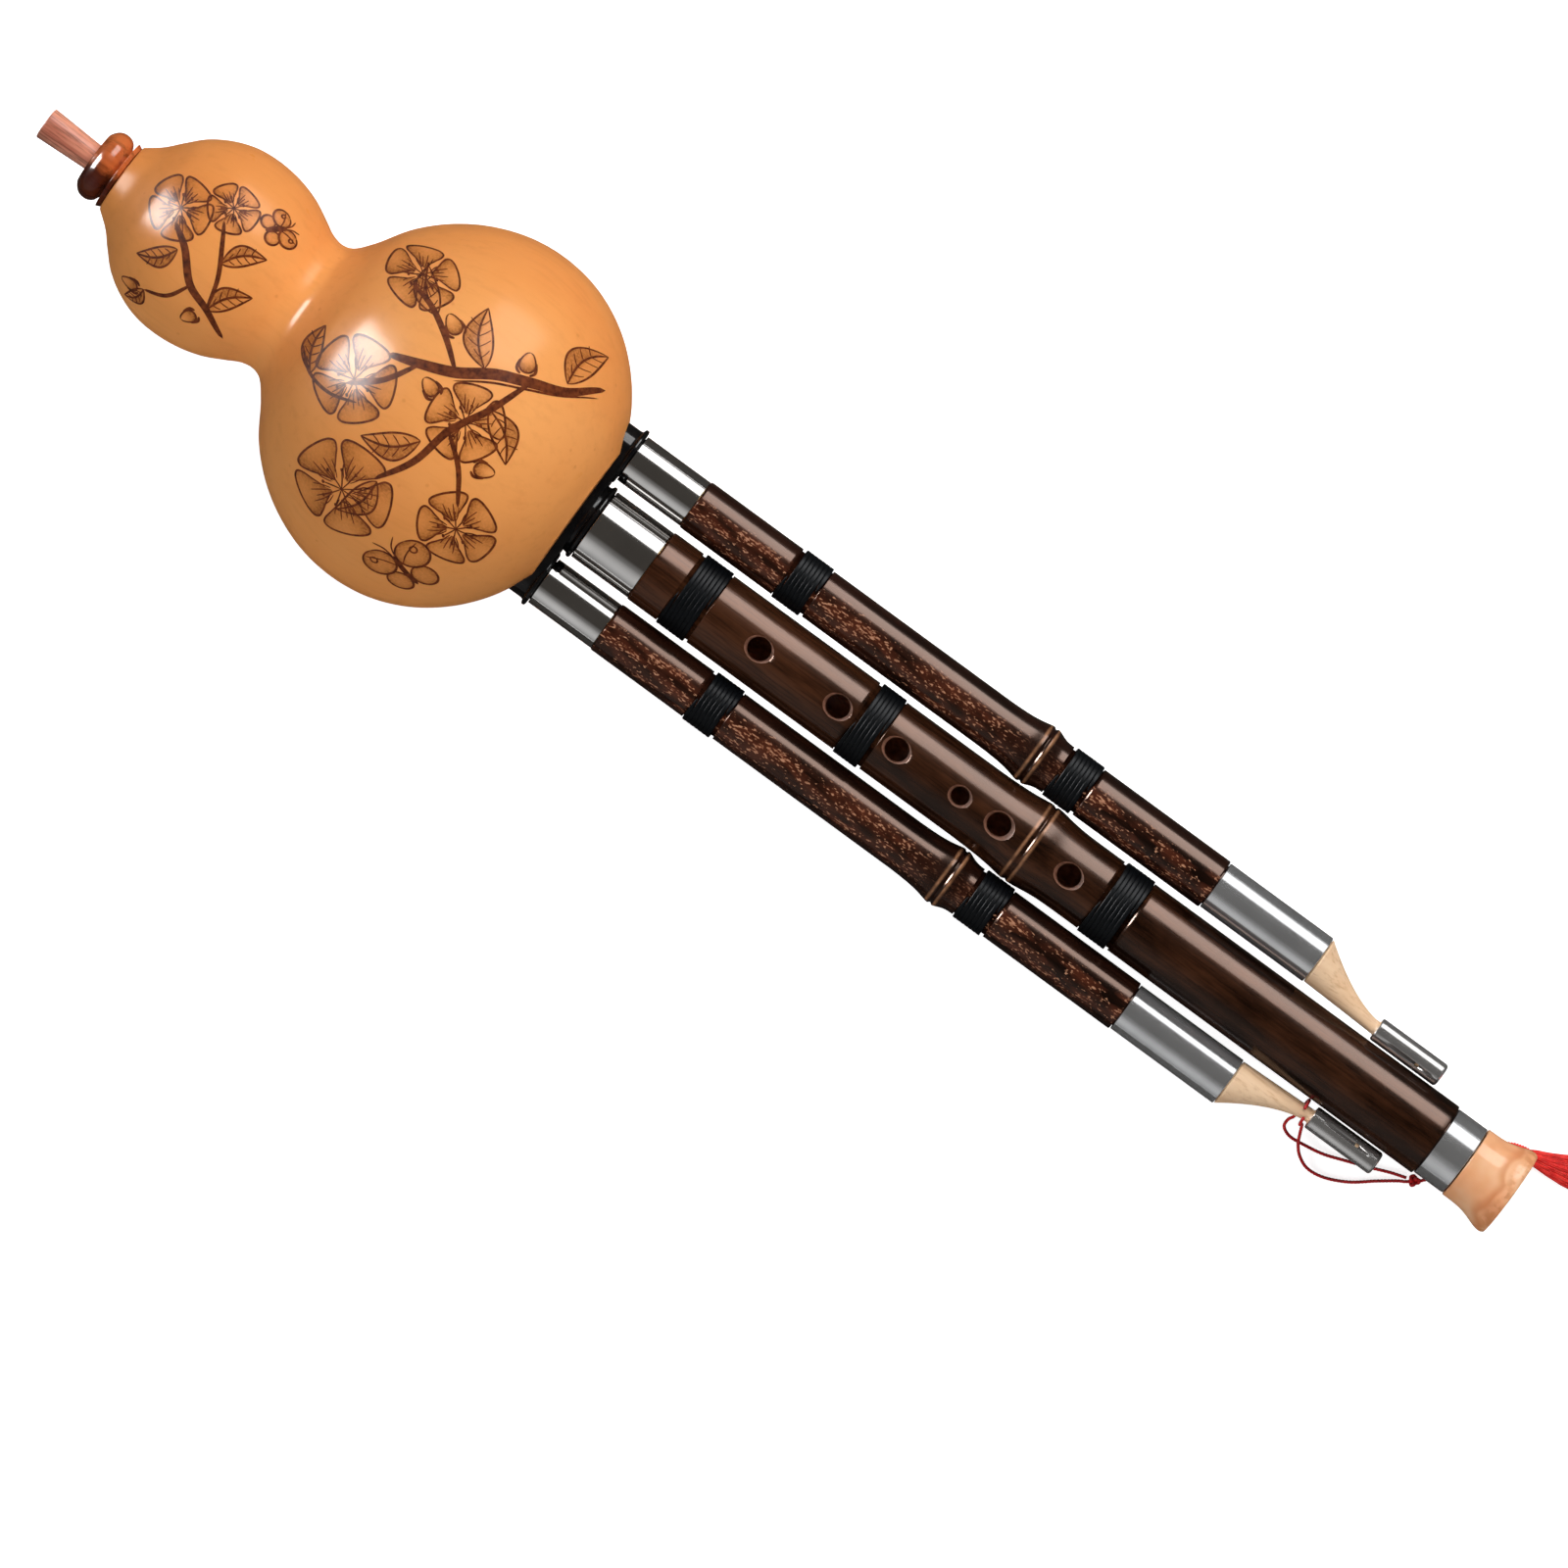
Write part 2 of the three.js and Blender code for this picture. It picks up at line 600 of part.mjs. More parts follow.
// A point seen at this distance along the axis and to the side, at a height over the ground
function laid(along, side, height) {
  const front = (height - groundDrop + along * Math.sin(lean)) / Math.cos(lean);
  return new THREE.Vector3(along, side, front);
}

// Red cord: two strands from a loop round the right stopper's stem to a knot, then on to the tassel.
// The loop is loose enough for the stopper's cone when the drone is drawn out.
function roundStem(along, turn) {
  const angle = THREE.MathUtils.degToRad(turn);
  const radius = stopperRadius(coneShare(along - droneSlide)) + cord.loopLift + cord.width / 2;
  const side = -spacing - stopperShift(along) + radius * Math.sin(angle);
  return new THREE.Vector3(along, side, radius * Math.cos(angle));
}

const firstStrand = [
  roundStem(391.2, 20), roundStem(391.1, 70), roundStem(391, 125), roundStem(390.8, 180),
  roundStem(390.5, 225),
  laid(389.9, -17.6, 13.6), laid(390.3, -20.2, 9.6), laid(393, -21.7, 5.8), laid(397.5, -21.6, 2.4),
  laid(402.4, -20.8, 0.8), laid(408.1, -18.7, 0.55), laid(413.9, -16.4, 0.55), laid(418.6, -14.4, 0.6),
  laid(422.2, -13.1, 1.2),
];
const secondStrand = [
  roundStem(392.3, -20), roundStem(392.5, -70), roundStem(392.9, -115),
  laid(394, -18.9, 13.4), laid(395.6, -21.6, 9.2), laid(398, -24.3, 4.8), laid(401.4, -25.9, 1.6),
  laid(405.5, -25.5, 0.6), laid(411.5, -22.6, 0.55), laid(416.8, -18.3, 0.6), laid(421.3, -14.8, 1),
  laid(422.7, -13.9, 1.4),
];
const tasselLead = [
  laid(425.9, -11.1, 1.3), laid(428.4, -7, 0.6), laid(431.2, -2, 0.55), laid(433.8, 2.6, 0.6),
  laid(436.7, 6.9, 1.2),
];

function cordTube(points) {
  const path = new THREE.CatmullRomCurve3(points);
  const ring = new THREE.Shape();
  ring.absarc(0, 0, cord.width / 2, 0, 2 * Math.PI, false);
  const steps = Math.ceil(path.getLength() / (cord.stepShare * cord.width));
  return new THREE.ExtrudeGeometry(ring, {
    steps, extrudePath: path, bevelEnabled: false, curveSegments: sides.cord / 2 });
}

function knotBall() {
  const geometry = new THREE.IcosahedronGeometry(tassel.knot, 1);
  const middle = laid(424.2, -12.5, tassel.knot);
  return geometry.translate(middle.x, middle.y, middle.z);
}

// Soft bundles that lie on the ground on the cord's route, [along, side], flat below and round above
const bundleShares = [
  [-0.8, 0.75], [-0.3, 1], [0.3, 1], [0.8, 0.75], [1, 0.35], [0.7, 0], [-0.7, 0], [-1, 0.35],
];
const headRoute = [[437.4, 7.7], [438.8, 8.2], [441.8, 9.1], [443.3, 9.5]];
const headShares = [[0.81, 0.83], [1, 1], [1, 1], [0.86, 0.92]];
const fringeRoute = [
  [443.7, 9.7], [448, 10.7], [453, 12.2], [464, 15.4], [480, 19], [498, 21.4], [516, 21.8], [531, 20.6],
  [543, 18.6],
];
const fringeShares = [
  [0.32, 0.48], [0.52, 0.54], [0.75, 0.71], [0.84, 0.92], [0.89, 1], [0.91, 0.96], [0.96, 0.88], [1, 0.75],
  [0.98, 0.58],
];

function bundle(route, shares, half, thick) {
  return loft(route.map(([along, side], i) => {
    const [before, after] = [route[Math.max(i - 1, 0)], route[Math.min(i + 1, route.length - 1)]];
    const way = new THREE.Vector2(after[0] - before[0], after[1] - before[1]).normalize();
    const [wide, high] = [shares[i][0] * half, shares[i][1] * thick];
    return bundleShares.map(([across, up]) => laid(
      along - across * wide * way.y, side + across * wide * way.x, tassel.lift + up * high));
  }));
}

// Materials
function finish(color, roughness, metalness) {
  return new THREE.MeshStandardMaterial({ color, roughness, metalness });
}

const gourdSkin = finish(0xd9924a, 0.25, 0);
const rosewood = finish(0x7a3014, 0.3, 0);
const paleRosewood = finish(0xb8644a, 0.45, 0);
const blackHorn = finish(0x0d0c0c, 0.2, 0);
const polishedMetal = finish(0xc9c8c8, 0.15, 1);
const satinMetal = finish(0xa6a8aa, 0.35, 1);
const brass = finish(0xb08d45, 0.35, 1);
const mainWood = finish(0x3a241a, 0.35, 0);
const droneWood = finish(0x2c1a14, 0.4, 0);
const blackThread = finish(0x0a0b0d, 0.3, 0);
const bellMaterial = finish(0xe3a87c, 0.2, 0);
const stopperWood = finish(0xf0cfa2, 0.55, 0);
const redCord = finish(0xb3191c, 0.8, 0);

// Assembly
const instrument = new THREE.Group();

function place(name, geometry, material) {
  const mesh = new THREE.Mesh(geometry, material);
  mesh.name = name;
  instrument.add(mesh);
  return mesh;
}

place('mouthpiece_tube', mouthpieceTube(), paleRosewood);
place('mouthpiece_collar', mouthpieceCollar(), rosewood);
place('gourd_shell', gourdShell(), gourdSkin);
place('gourd_base', gourdBase(), blackHorn);
for (const entry of pipes) {
  place(`${entry.name}_upper_ferrule`, upperFerrule(entry), polishedMetal);
  place(`${entry.name}_tenon_tube`, tenonTube(entry), brass);
  place(`${entry.name}_reed_tube`, reedTube(entry), brass);
  place(`${entry.name}_reed_plate`, reedPlate(entry), brass);
}
place('main_pipe', mainPipe(), mainWood);
place('tail_ring', tailRingTube(), satinMetal);
place('bell', bellTube(), bellMaterial);
mainBindings.forEach((band, i) => {
  const name = `main_binding_${i + 1}`;
  place(name, binding(main, band, 0, name), blackThread);
});
for (const { name, side } of pipes.slice(1)) {
  place(`${name}_drone_pipe`, dronePipe(side), droneWood);
  droneBindings.forEach((band, i) => {
    const bandName = `${name}_binding_${i + 1}`;
    place(bandName, binding(drone, band, side, bandName), blackThread);
  });
  place(`${name}_lower_ferrule`, lowerFerruleTube(side), satinMetal);
  place(`${name}_stopper`, stopperBody(side), stopperWood);
  place(`${name}_switch_cap`, switchCap(side), satinMetal);
}

// The origin is under the middle of the instrument, measured without its cord
instrument.rotation.y = lean;
const box = new THREE.Box3().setFromObject(instrument, true);
const middle = box.getCenter(new THREE.Vector3());
instrument.position.set(-middle.x, -middle.y, -box.min.z);

place('cord_strand_1', cordTube(firstStrand), redCord);
place('cord_strand_2', cordTube(secondStrand), redCord);
place('tassel_knot', knotBall(), redCord);
place('tassel_lead', cordTube(tasselLead), redCord);
place('tassel_head', bundle(headRoute, headShares, tassel.headHalf, tassel.headThick), redCord);
place('tassel_fringe', bundle(fringeRoute, fringeShares, tassel.fringeHalf, tassel.fringeThick), redCord);

export default instrument;
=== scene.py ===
# %% [markdown]
# # A hulusi, dressed around its CAD model
# The instrument is a gourd that the player blows into, with one finger pipe and two drone pipes
# below it. Its solids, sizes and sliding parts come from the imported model. This script gives each
# piece its smooth surface and its finish: lacquered gourd, mottled bamboo, polished metal, wound
# thread, pale wood, a peach bell and a red tassel.

# %% Load the frame
import json
import math

import bmesh
import bpy
import mathutils
import numpy as np
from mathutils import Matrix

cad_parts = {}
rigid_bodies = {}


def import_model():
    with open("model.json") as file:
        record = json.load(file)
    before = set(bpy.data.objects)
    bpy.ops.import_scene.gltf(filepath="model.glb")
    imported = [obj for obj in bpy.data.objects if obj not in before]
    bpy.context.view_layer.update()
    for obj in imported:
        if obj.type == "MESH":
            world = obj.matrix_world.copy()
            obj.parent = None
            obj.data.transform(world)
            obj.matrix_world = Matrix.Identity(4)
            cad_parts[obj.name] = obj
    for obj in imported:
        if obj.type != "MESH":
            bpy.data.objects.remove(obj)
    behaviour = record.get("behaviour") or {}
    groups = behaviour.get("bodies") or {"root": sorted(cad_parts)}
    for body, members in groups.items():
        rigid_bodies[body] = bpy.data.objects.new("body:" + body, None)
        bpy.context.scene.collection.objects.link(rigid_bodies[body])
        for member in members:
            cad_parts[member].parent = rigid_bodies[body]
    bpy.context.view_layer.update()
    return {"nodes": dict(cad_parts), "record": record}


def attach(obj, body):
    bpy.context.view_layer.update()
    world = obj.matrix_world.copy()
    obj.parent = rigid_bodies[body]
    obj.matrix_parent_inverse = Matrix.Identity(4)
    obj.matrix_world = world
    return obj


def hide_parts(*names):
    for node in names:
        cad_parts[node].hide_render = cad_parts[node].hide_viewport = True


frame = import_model()


def new_object(name, data):
    """An object with that data, in the scene."""
    thing = bpy.data.objects.new(name, data)
    bpy.context.scene.collection.objects.link(thing)
    return thing


def dress(piece, body, finish, *nodes):
    """Says which body a piece rides on and which nodes it replaces. The finish is not used."""
    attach(piece, body)
    if nodes:
        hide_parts(*nodes)


# %% [markdown]
# ## The instrument's own directions
# It lies on its back and leans a few degrees, so nothing on it is level. It is easier to think in
# its own three directions, in millimetres: how far along from the mouth tip, how far to the side,
# and how far to the front, where the finger holes are. The slide joint tells the first direction,
# and the mouthpiece's end tells where to measure from.

# %% Along, side and front
MM = 0.001
CLEARANCE = 0.3
joints = {joint["name"]: joint for joint in frame["record"]["behaviour"]["joints"]}
along_way = np.array(joints["main_tuning_slide"]["axis"], float)
along_way /= np.linalg.norm(along_way)
side_way = np.array([0.0, 1.0, 0.0])
front_way = np.cross(along_way, side_way)
own_ways = np.stack([along_way, side_way, front_way])
lean = math.atan2(-along_way[2], along_way[0])


def corners(node):
    """All vertices of a CAD node, as an array of points in metres."""
    mesh = frame["nodes"][node].data
    flat = np.empty(3 * len(mesh.vertices))
    mesh.vertices.foreach_get("co", flat)
    return flat.reshape(-1, 3)


def tip_centre():
    """The middle of the ring of vertices that lies furthest back along the axis."""
    points = corners("mouthpiece_tube") @ own_ways.T
    ring = points[points[:, 0] < points[:, 0].min() + 0.01 * MM]
    return (ring.min(axis=0) + ring.max(axis=0)) / 2 @ own_ways


TIP = tip_centre()


def world(points):
    """Turns (along, side, front) in millimetres into the frame's metres: tip + each times its way."""
    return TIP + np.asarray(points, float) * MM @ own_ways


def span(node):
    """Lowest and highest (along, side, front) of a CAD node, in millimetres."""
    points = (corners(node) - TIP) @ own_ways.T / MM
    return points.min(axis=0), points.max(axis=0)


print("tip", np.round(TIP, 5), "lean", round(math.degrees(lean), 3))

# %% [markdown]
# ## Sizes that the pieces share
# Each length is read from the node that has it. The radii are the pipes' own sizes.

# %% Shared sizes
gourd_at, gourd_end = span("gourd_shell")[0][0], span("gourd_shell")[1][0]
pipes_at = span("main_pipe")[0][0]
main_end = span("tail_ring")[0][0] - CLEARANCE
drone_end = span("left_lower_ferrule")[0][0] - CLEARANCE
stopper_at = span("left_lower_ferrule")[1][0] + CLEARANCE
cap_at, cap_end = span("left_switch_cap")[0][0], span("left_switch_cap")[1][0]
bell_at, bell_end = span("bell")[0][0], span("bell")[1][0]
MAIN_RADIUS, DRONE_RADIUS = 10.0, 6.8
SPACING, STEM_SIDE = 18.6, 13.5
pipe_sides = {"main": 0.0, "left": SPACING, "right": -SPACING}
print("pipes start at", round(pipes_at, 2), "and the bell ends at", round(bell_end, 2))

# %% [markdown]
# ## The camera
# The photograph is almost without perspective, so a long lens looks from far away. It looks down
# on the finger holes, 6 degrees round the axis towards the left drone, because the holes lie a
# little below the pipe's middle in the picture. The picture is turned so that the axis runs down
# to the right.

# %% Camera at the photograph's angle
PIXELS = 1600
MM_PER_PIXEL = 0.24
CAMERA_DISTANCE = 3.0
PICTURE_TURN = math.radians(36.2)
VIEW_ROUND = math.radians(6)
CENTRE_ALONG, CENTRE_SIDE = 241.45, -23.93

sideways = math.cos(VIEW_ROUND) * side_way - math.sin(VIEW_ROUND) * front_way
towards = math.cos(VIEW_ROUND) * front_way + math.sin(VIEW_ROUND) * side_way
picture_right = math.cos(PICTURE_TURN) * along_way + math.sin(PICTURE_TURN) * sideways
picture_up = -math.sin(PICTURE_TURN) * along_way + math.cos(PICTURE_TURN) * sideways
aim = TIP + (CENTRE_ALONG * along_way + CENTRE_SIDE * sideways) * MM

camera_data = bpy.data.cameras.new("camera")
camera = new_object("camera", camera_data)
place = np.eye(4)
place[:3, 0], place[:3, 1], place[:3, 2] = picture_right, picture_up, towards
place[:3, 3] = aim + CAMERA_DISTANCE * towards
camera.matrix_world = mathutils.Matrix(place.tolist())
camera_data.sensor_fit = "HORIZONTAL"
camera_data.lens = camera_data.sensor_width * CAMERA_DISTANCE / (PIXELS * MM_PER_PIXEL * MM)
camera_data.clip_end = 20
bpy.context.scene.camera = camera
print("lens", round(camera_data.lens, 1), "mm")

# %% [markdown]
# ## Surfaces from arrays
# Every new piece is a grid of points that numpy works out at once: rows run along a profile and
# columns run round it. One function turns such a grid into a mesh, with the places on the grid
# kept as its UV map, so that wood grain and thread can follow the surface.

# %% A mesh from a grid of points


def columns(*parts):
    """Arrays side by side along a new last axis; a single number counts for every place."""
    return np.stack(np.broadcast_arrays(*parts), axis=-1)


def unit(vectors):
    """The same directions with length 1."""
    return vectors / np.linalg.norm(vectors, axis=-1, keepdims=True)


def circle(count):
    """Angles at equal steps once round."""
    return 2 * np.pi * np.arange(count) / count


def faces_of(rows, cols, wrap_rows):
    """Corner numbers of the grid's quads; columns always close, rows close when they wrap."""
    row = np.arange(rows if wrap_rows else rows - 1)[:, None]
    col = np.arange(cols)[None, :]
    nxt_row, nxt_col = (row + 1) % rows, (col + 1) % cols
    quads = [row * cols + col, row * cols + nxt_col, nxt_row * cols + nxt_col, nxt_row * cols + col]
    return np.stack(quads, axis=-1).reshape(-1, 4)


def volume_of(points, quads):
    """Signed volume: a sixth of the sum of a . (b x c) over both triangles of every quad."""
    a, b, c, d = (points[quads[:, k]] for k in range(4))
    return np.einsum("ij,ij->", a, np.cross(b, c) + np.cross(c, d)) / 6


def make_mesh(name, points, quads, uvs=None, merge=0.002):
    """Builds the mesh with its faces outwards, merges points closer than merge mm, smooth shaded."""
    centred = points - points.mean(axis=0)
    if volume_of(centred, quads) < 0:
        quads = quads[:, ::-1]
        uvs = None if uvs is None else uvs[:, ::-1]
    mesh = bpy.data.meshes.new(name)
    mesh.from_pydata(points, [], quads.tolist())
    if uvs is not None:
        layer = mesh.uv_layers.new(name="place")
        layer.data.foreach_set("uv", np.ascontiguousarray(uvs, dtype=np.float32).ravel())
    builder = bmesh.new()
    builder.from_mesh(mesh)
    bmesh.ops.remove_doubles(builder, verts=builder.verts, dist=merge * MM)
    bmesh.ops.dissolve_degenerate(builder, edges=builder.edges, dist=merge * MM / 4)
    builder.to_mesh(mesh)
    builder.free()
    mesh.shade_smooth()
    mesh.update()
    return new_object(name, mesh)


def grid_uvs(rows, cols, wrap_rows, length, width):
    """UVs of each quad's corners in metres: across runs round to width, up runs to length."""
    row = np.arange(rows if wrap_rows else rows - 1)[:, None]
    col = np.arange(cols)[None, :]
    share = np.append(length, length[-1])
    near, far = share[row] + 0 * col, share[row + 1] + 0 * col
    left, right = col / cols * width + 0 * row, (col + 1) / cols * width + 0 * row
    pairs = [(left, near), (right, near), (right, far), (left, far)]
    return np.stack([np.stack(pair, axis=-1) for pair in pairs], axis=2).reshape(-1, 4, 2) * MM


def grid_mesh(name, local, wrap_rows=False, length=None, width=1.0):
    """A mesh from local points (rows, columns, 3) in millimetres along, side and front."""
    rows, cols = local.shape[:2]
    quads = faces_of(rows, cols, wrap_rows)
    length = local[:, 0, 0] if length is None else length
    return make_mesh(name, world(local).reshape(-1, 3), quads, grid_uvs(rows, cols, wrap_rows, length, width))


def joined(name, things):
    """One object from several closed meshes: their points and faces side by side."""
    builder = bmesh.new()
    for thing in things:
        builder.from_mesh(thing.data)
    mesh = bpy.data.meshes.new(name)
    builder.to_mesh(mesh)
    builder.free()
    mesh.shade_smooth()
    for thing in things:
        bpy.data.objects.remove(thing)
    return new_object(name, mesh)


# %% [markdown]
# ## Turned pieces
# Most of the instrument is turned on a lathe, so most pieces are a profile swept round an axis. A
# real turned edge is never razor sharp. Each corner of a profile gets a tiny curve, with a guard
# point on both sides, so that smooth shading stays flat right up to the edge.

# %% Profiles and turning
ROUND = 96


def eased(outline, size=0.15):
    """Each corner P becomes a small parabola from P towards its neighbours, with guard points."""
    points = np.asarray(outline, float)
    arms = []
    for shift in (1, -1):
        arm = np.roll(points, shift, axis=0) - points
        reach = np.linalg.norm(arm, axis=1, keepdims=True)
        arms.append((arm / reach * np.minimum(size, 0.3 * reach))[:, None])
    share = np.array([0, 0.25, 0.5, 0.75, 1])[None, :, None]
    middle = points[:, None]
    curve = middle + (1 - share) ** 2 * arms[0] + share**2 * arms[1]
    return np.concatenate([middle + 1.5 * arms[0], curve, middle + 1.5 * arms[1]], axis=1).reshape(-1, 2)


def ring_points(outline, side=0.0, count=ROUND):
    """(along, side + r sin a, r cos a) for each profile point and each angle a."""
    outline = np.asarray(outline, float)
    angle, radius = circle(count), outline[:, 1:2]
    return columns(outline[:, :1], side + radius * np.sin(angle), radius * np.cos(angle))


def turn(name, outline, side=0.0, count=ROUND):
    """Turns a closed profile of (along, radius) about the axis at that side."""
    outline = np.asarray(outline, float)
    return grid_mesh(name, ring_points(outline, side, count), True, width=2 * np.pi * outline[:, 1].max())


def tube_outline(start, end, outer, inner, size=0.15):
    """The profile of a plain sleeve with eased edges."""
    return eased([[start, outer], [end, outer], [end, inner], [start, inner]], size)


# %% [markdown]
# ## Tubes along a path
# Threads, cords and tassel strands are a small section carried along a curve. Frames that turn as
# little as possible keep the section from twisting. The curve passes through its points as a
# Catmull-Rom spline, the same kind that the CAD model uses.

# %% Splines and swept tubes


def spline(points, per_span=12):
    """Centripetal Catmull-Rom through the points: knots lie the square root of each chord apart."""
    points = np.asarray(points, float)
    ends = np.vstack([2 * points[0] - points[1], points, 2 * points[-1] - points[-2]])
    knots = np.concatenate([[0], np.cumsum(np.linalg.norm(np.diff(ends, axis=0), axis=1) ** 0.5)])
    at = [knots[k:len(knots) - 3 + k][:, None, None] for k in range(4)]
    given = [ends[k:len(ends) - 3 + k][:, None, :] for k in range(4)]
    t = at[1] + (at[2] - at[1]) * (np.arange(per_span) / per_span)[None, :, None]

    def between(first, second, low, high):
        return ((at[high] - t) * first + (t - at[low]) * second) / (at[high] - at[low])

    once = [between(given[k], given[k + 1], k, k + 1) for k in range(3)]
    twice = [between(once[k], once[k + 1], k, k + 2) for k in range(2)]
    return np.vstack([between(*twice, 1, 2).reshape(-1, 3), points[-1:]])


def length_of(path):
    """The sum of the steps between the path's points."""
    return float(np.linalg.norm(np.diff(path, axis=0), axis=1).sum())


def evenly(path, count):
    """The same path with count points at equal distances."""
    walked = np.concatenate([[0], np.cumsum(np.linalg.norm(np.diff(path, axis=0), axis=1))])
    places = np.linspace(0, walked[-1], count)
    return np.stack([np.interp(places, walked, path[:, k]) for k in range(3)], axis=1)


def frames_of(path):
    """Two normals at each point of a path, carried on by the double reflection rule."""
    tangent = unit(np.gradient(path, axis=0))
    normal = [unit(np.cross(tangent[0], [0.3, 0.2, 0.93]))]
    for i in range(len(path) - 1):
        step = path[i + 1] - path[i]
        flipped = normal[-1] - 2 * step @ normal[-1] / (step @ step) * step
        turned = tangent[i] - 2 * step @ tangent[i] / (step @ step) * step
        rest = tangent[i + 1] - turned
        scale = rest @ rest
        normal.append(unit(flipped - (2 * rest @ flipped / scale * rest if scale > 1e-18 else 0)))
    normal = np.array(normal)
    return normal, np.cross(tangent, normal)


def sweep(name, path, radius, count=12, plies=0, twist=0.0, depth=0.0):
    """A closed tube of that radius along a path in metres. Plies give the section lobes that turn
    by twist radians from end to end: r = radius (1 - depth (1 - |cos(plies (a - turn) / 2)|))."""
    rows = len(path)
    normal, across = frames_of(path)
    share = np.linspace(0, 1, rows)[:, None]
    angle = circle(count)[None, :]
    lobes = np.abs(np.cos(plies * (angle - twist * share) / 2))
    size = radius * (1 - depth * (1 - lobes))
    points = path[:, None] + size[..., None] * (
        np.cos(angle)[..., None] * normal[:, None] + np.sin(angle)[..., None] * across[:, None])
    caps = np.repeat(path[[0, -1]][:, None], count, axis=1)
    points = np.concatenate([caps[:1], points, caps[1:]])
    walked = length_of(path) / MM * np.linspace(0, 1, rows + 2)
    quads = faces_of(rows + 2, count, False)
    uvs = grid_uvs(rows + 2, count, False, walked, 2 * np.pi * radius / MM)
    return make_mesh(name, points.reshape(-1, 3), quads, uvs, merge=0.0005)


# %% [markdown]
# ## Where the red cord runs
# Cords come first, because their route decides how much room the model needs. The cord is looped
# round the right stopper's stem, its two strands meet in a knot on the ground below the pipes, and
# one strand goes on under the bell to the tassel. The points are the CAD model's own.

# %% The stopper's stem and the points on the ground
STOPPER_CONE, STOPPER_RIM, STOPPER_NECK = 20.3, 6.2, 1.8
DRONE_SLIDE = joints["right_drone_slide"]["range_m"][1] / MM
CORD_WIDTH, LOOP_LIFT = 0.9, 0.55


def cone_share(along):
    """0 where the stopper leaves its ferrule, 1 at its neck."""
    return np.clip((along - stopper_at) / STOPPER_CONE, 0, 1)


def stopper_radius(share):
    """The cone thins fast, then slowly: neck + (1 - share)^1.6 of the way to the rim."""
    return STOPPER_NECK + (1 - share) ** 1.6 * (STOPPER_RIM - STOPPER_NECK)


def stopper_middle(share):
    """The inner edge runs straight from the ferrule to the stem; the middle lies a radius outside."""
    inner = (1 - share) * (SPACING - STOPPER_RIM) + share * (STEM_SIDE - STOPPER_NECK)
    return inner + stopper_radius(share)


def round_stem(along, turn_degrees, slack=0.0):
    """A point of the loop: round the right stem, clear of the cone even when the drone slides."""
    angle = math.radians(turn_degrees)
    radius = stopper_radius(cone_share(along - DRONE_SLIDE)) + LOOP_LIFT + slack + CORD_WIDTH / 2
    side = -stopper_middle(cone_share(along)) + radius * math.sin(angle)
    return world([along, side, radius * math.cos(angle)])


def laid(along, side, height):
    """Points at those distances along and to the side, and at those heights over the ground."""
    front = (height * MM - TIP[2] - along * MM * along_way[2]) / front_way[2] / MM
    return world(columns(along, side, front))


first_loop = ((391.2, 20), (391.1, 70), (391, 125), (390.8, 180), (390.5, 225))
first_rest = (
    (389.9, -17.6, 13.6), (390.3, -20.2, 9.6), (393, -21.7, 5.8), (397.5, -21.6, 2.4), (402.4, -20.8, 0.8),
    (408.1, -18.7, 0.55), (413.9, -16.4, 0.55), (418.6, -14.4, 0.6), (422.2, -13.1, 1.2))
second_loop = ((392.3, -20, 0.1), (392.6, -70, 0.2), (393.2, -115, 0.4))
second_rest = (
    (394.3, -19.0, 13.4), (395.6, -21.6, 9.2), (398, -24.3, 4.8), (401.4, -25.9, 1.6), (405.5, -25.5, 0.6),
    (411.5, -22.6, 0.55), (416.8, -18.3, 0.6), (421.3, -14.8, 1), (422.7, -13.9, 1.4), (424.2, -12.5, 1.5),
    (425.9, -11.1, 1.3), (428.4, -7, 0.6), (431.2, -2, 0.55), (433.8, 2.6, 0.6), (436.7, 6.9, 1.2),
    (440, 8.6, 1.3), (443.7, 9.7, 1.4), (453, 12.2, 1.8), (464, 15.4, 2.2), (480, 19, 2.3), (489, 20.3, 2.3))
first_strand, second_strand = (
    spline([round_stem(*place) for place in loop] + [laid(*place) for place in rest])
    for loop, rest in ((first_loop, first_rest), (second_loop, second_rest)))
print("strands", round(length_of(first_strand), 4), round(length_of(second_strand), 4), "m")

# %% Cord pieces
CORD_PLIES, TWIST_PITCH, PLY_DEPTH = 3, 2.6, 0.28
CORD_STEP = 0.3


def cord_piece(name, path, nodes):
    """A twisted cord: three plies turn once every few millimetres along the path."""
    path = evenly(path, int(length_of(path) / (CORD_STEP * MM)))
    length = length_of(path)
    twist = 2 * np.pi * (length / MM / TWIST_PITCH)
    piece = sweep(name, path, CORD_WIDTH / 2 * MM, 12, CORD_PLIES, twist, PLY_DEPTH)
    dress(piece, "wind_chest", "red_cord", *nodes)
    return piece


# %% [markdown]
# ## The tassel
# The tassel is a bundle of red yarn with its head bound by a few turns, lying flat on the ground.
# Hundreds of thin strands follow one route, each with its own place in the bundle and its own
# slow wander, so the fringe catches light as yarn does and not as a block.

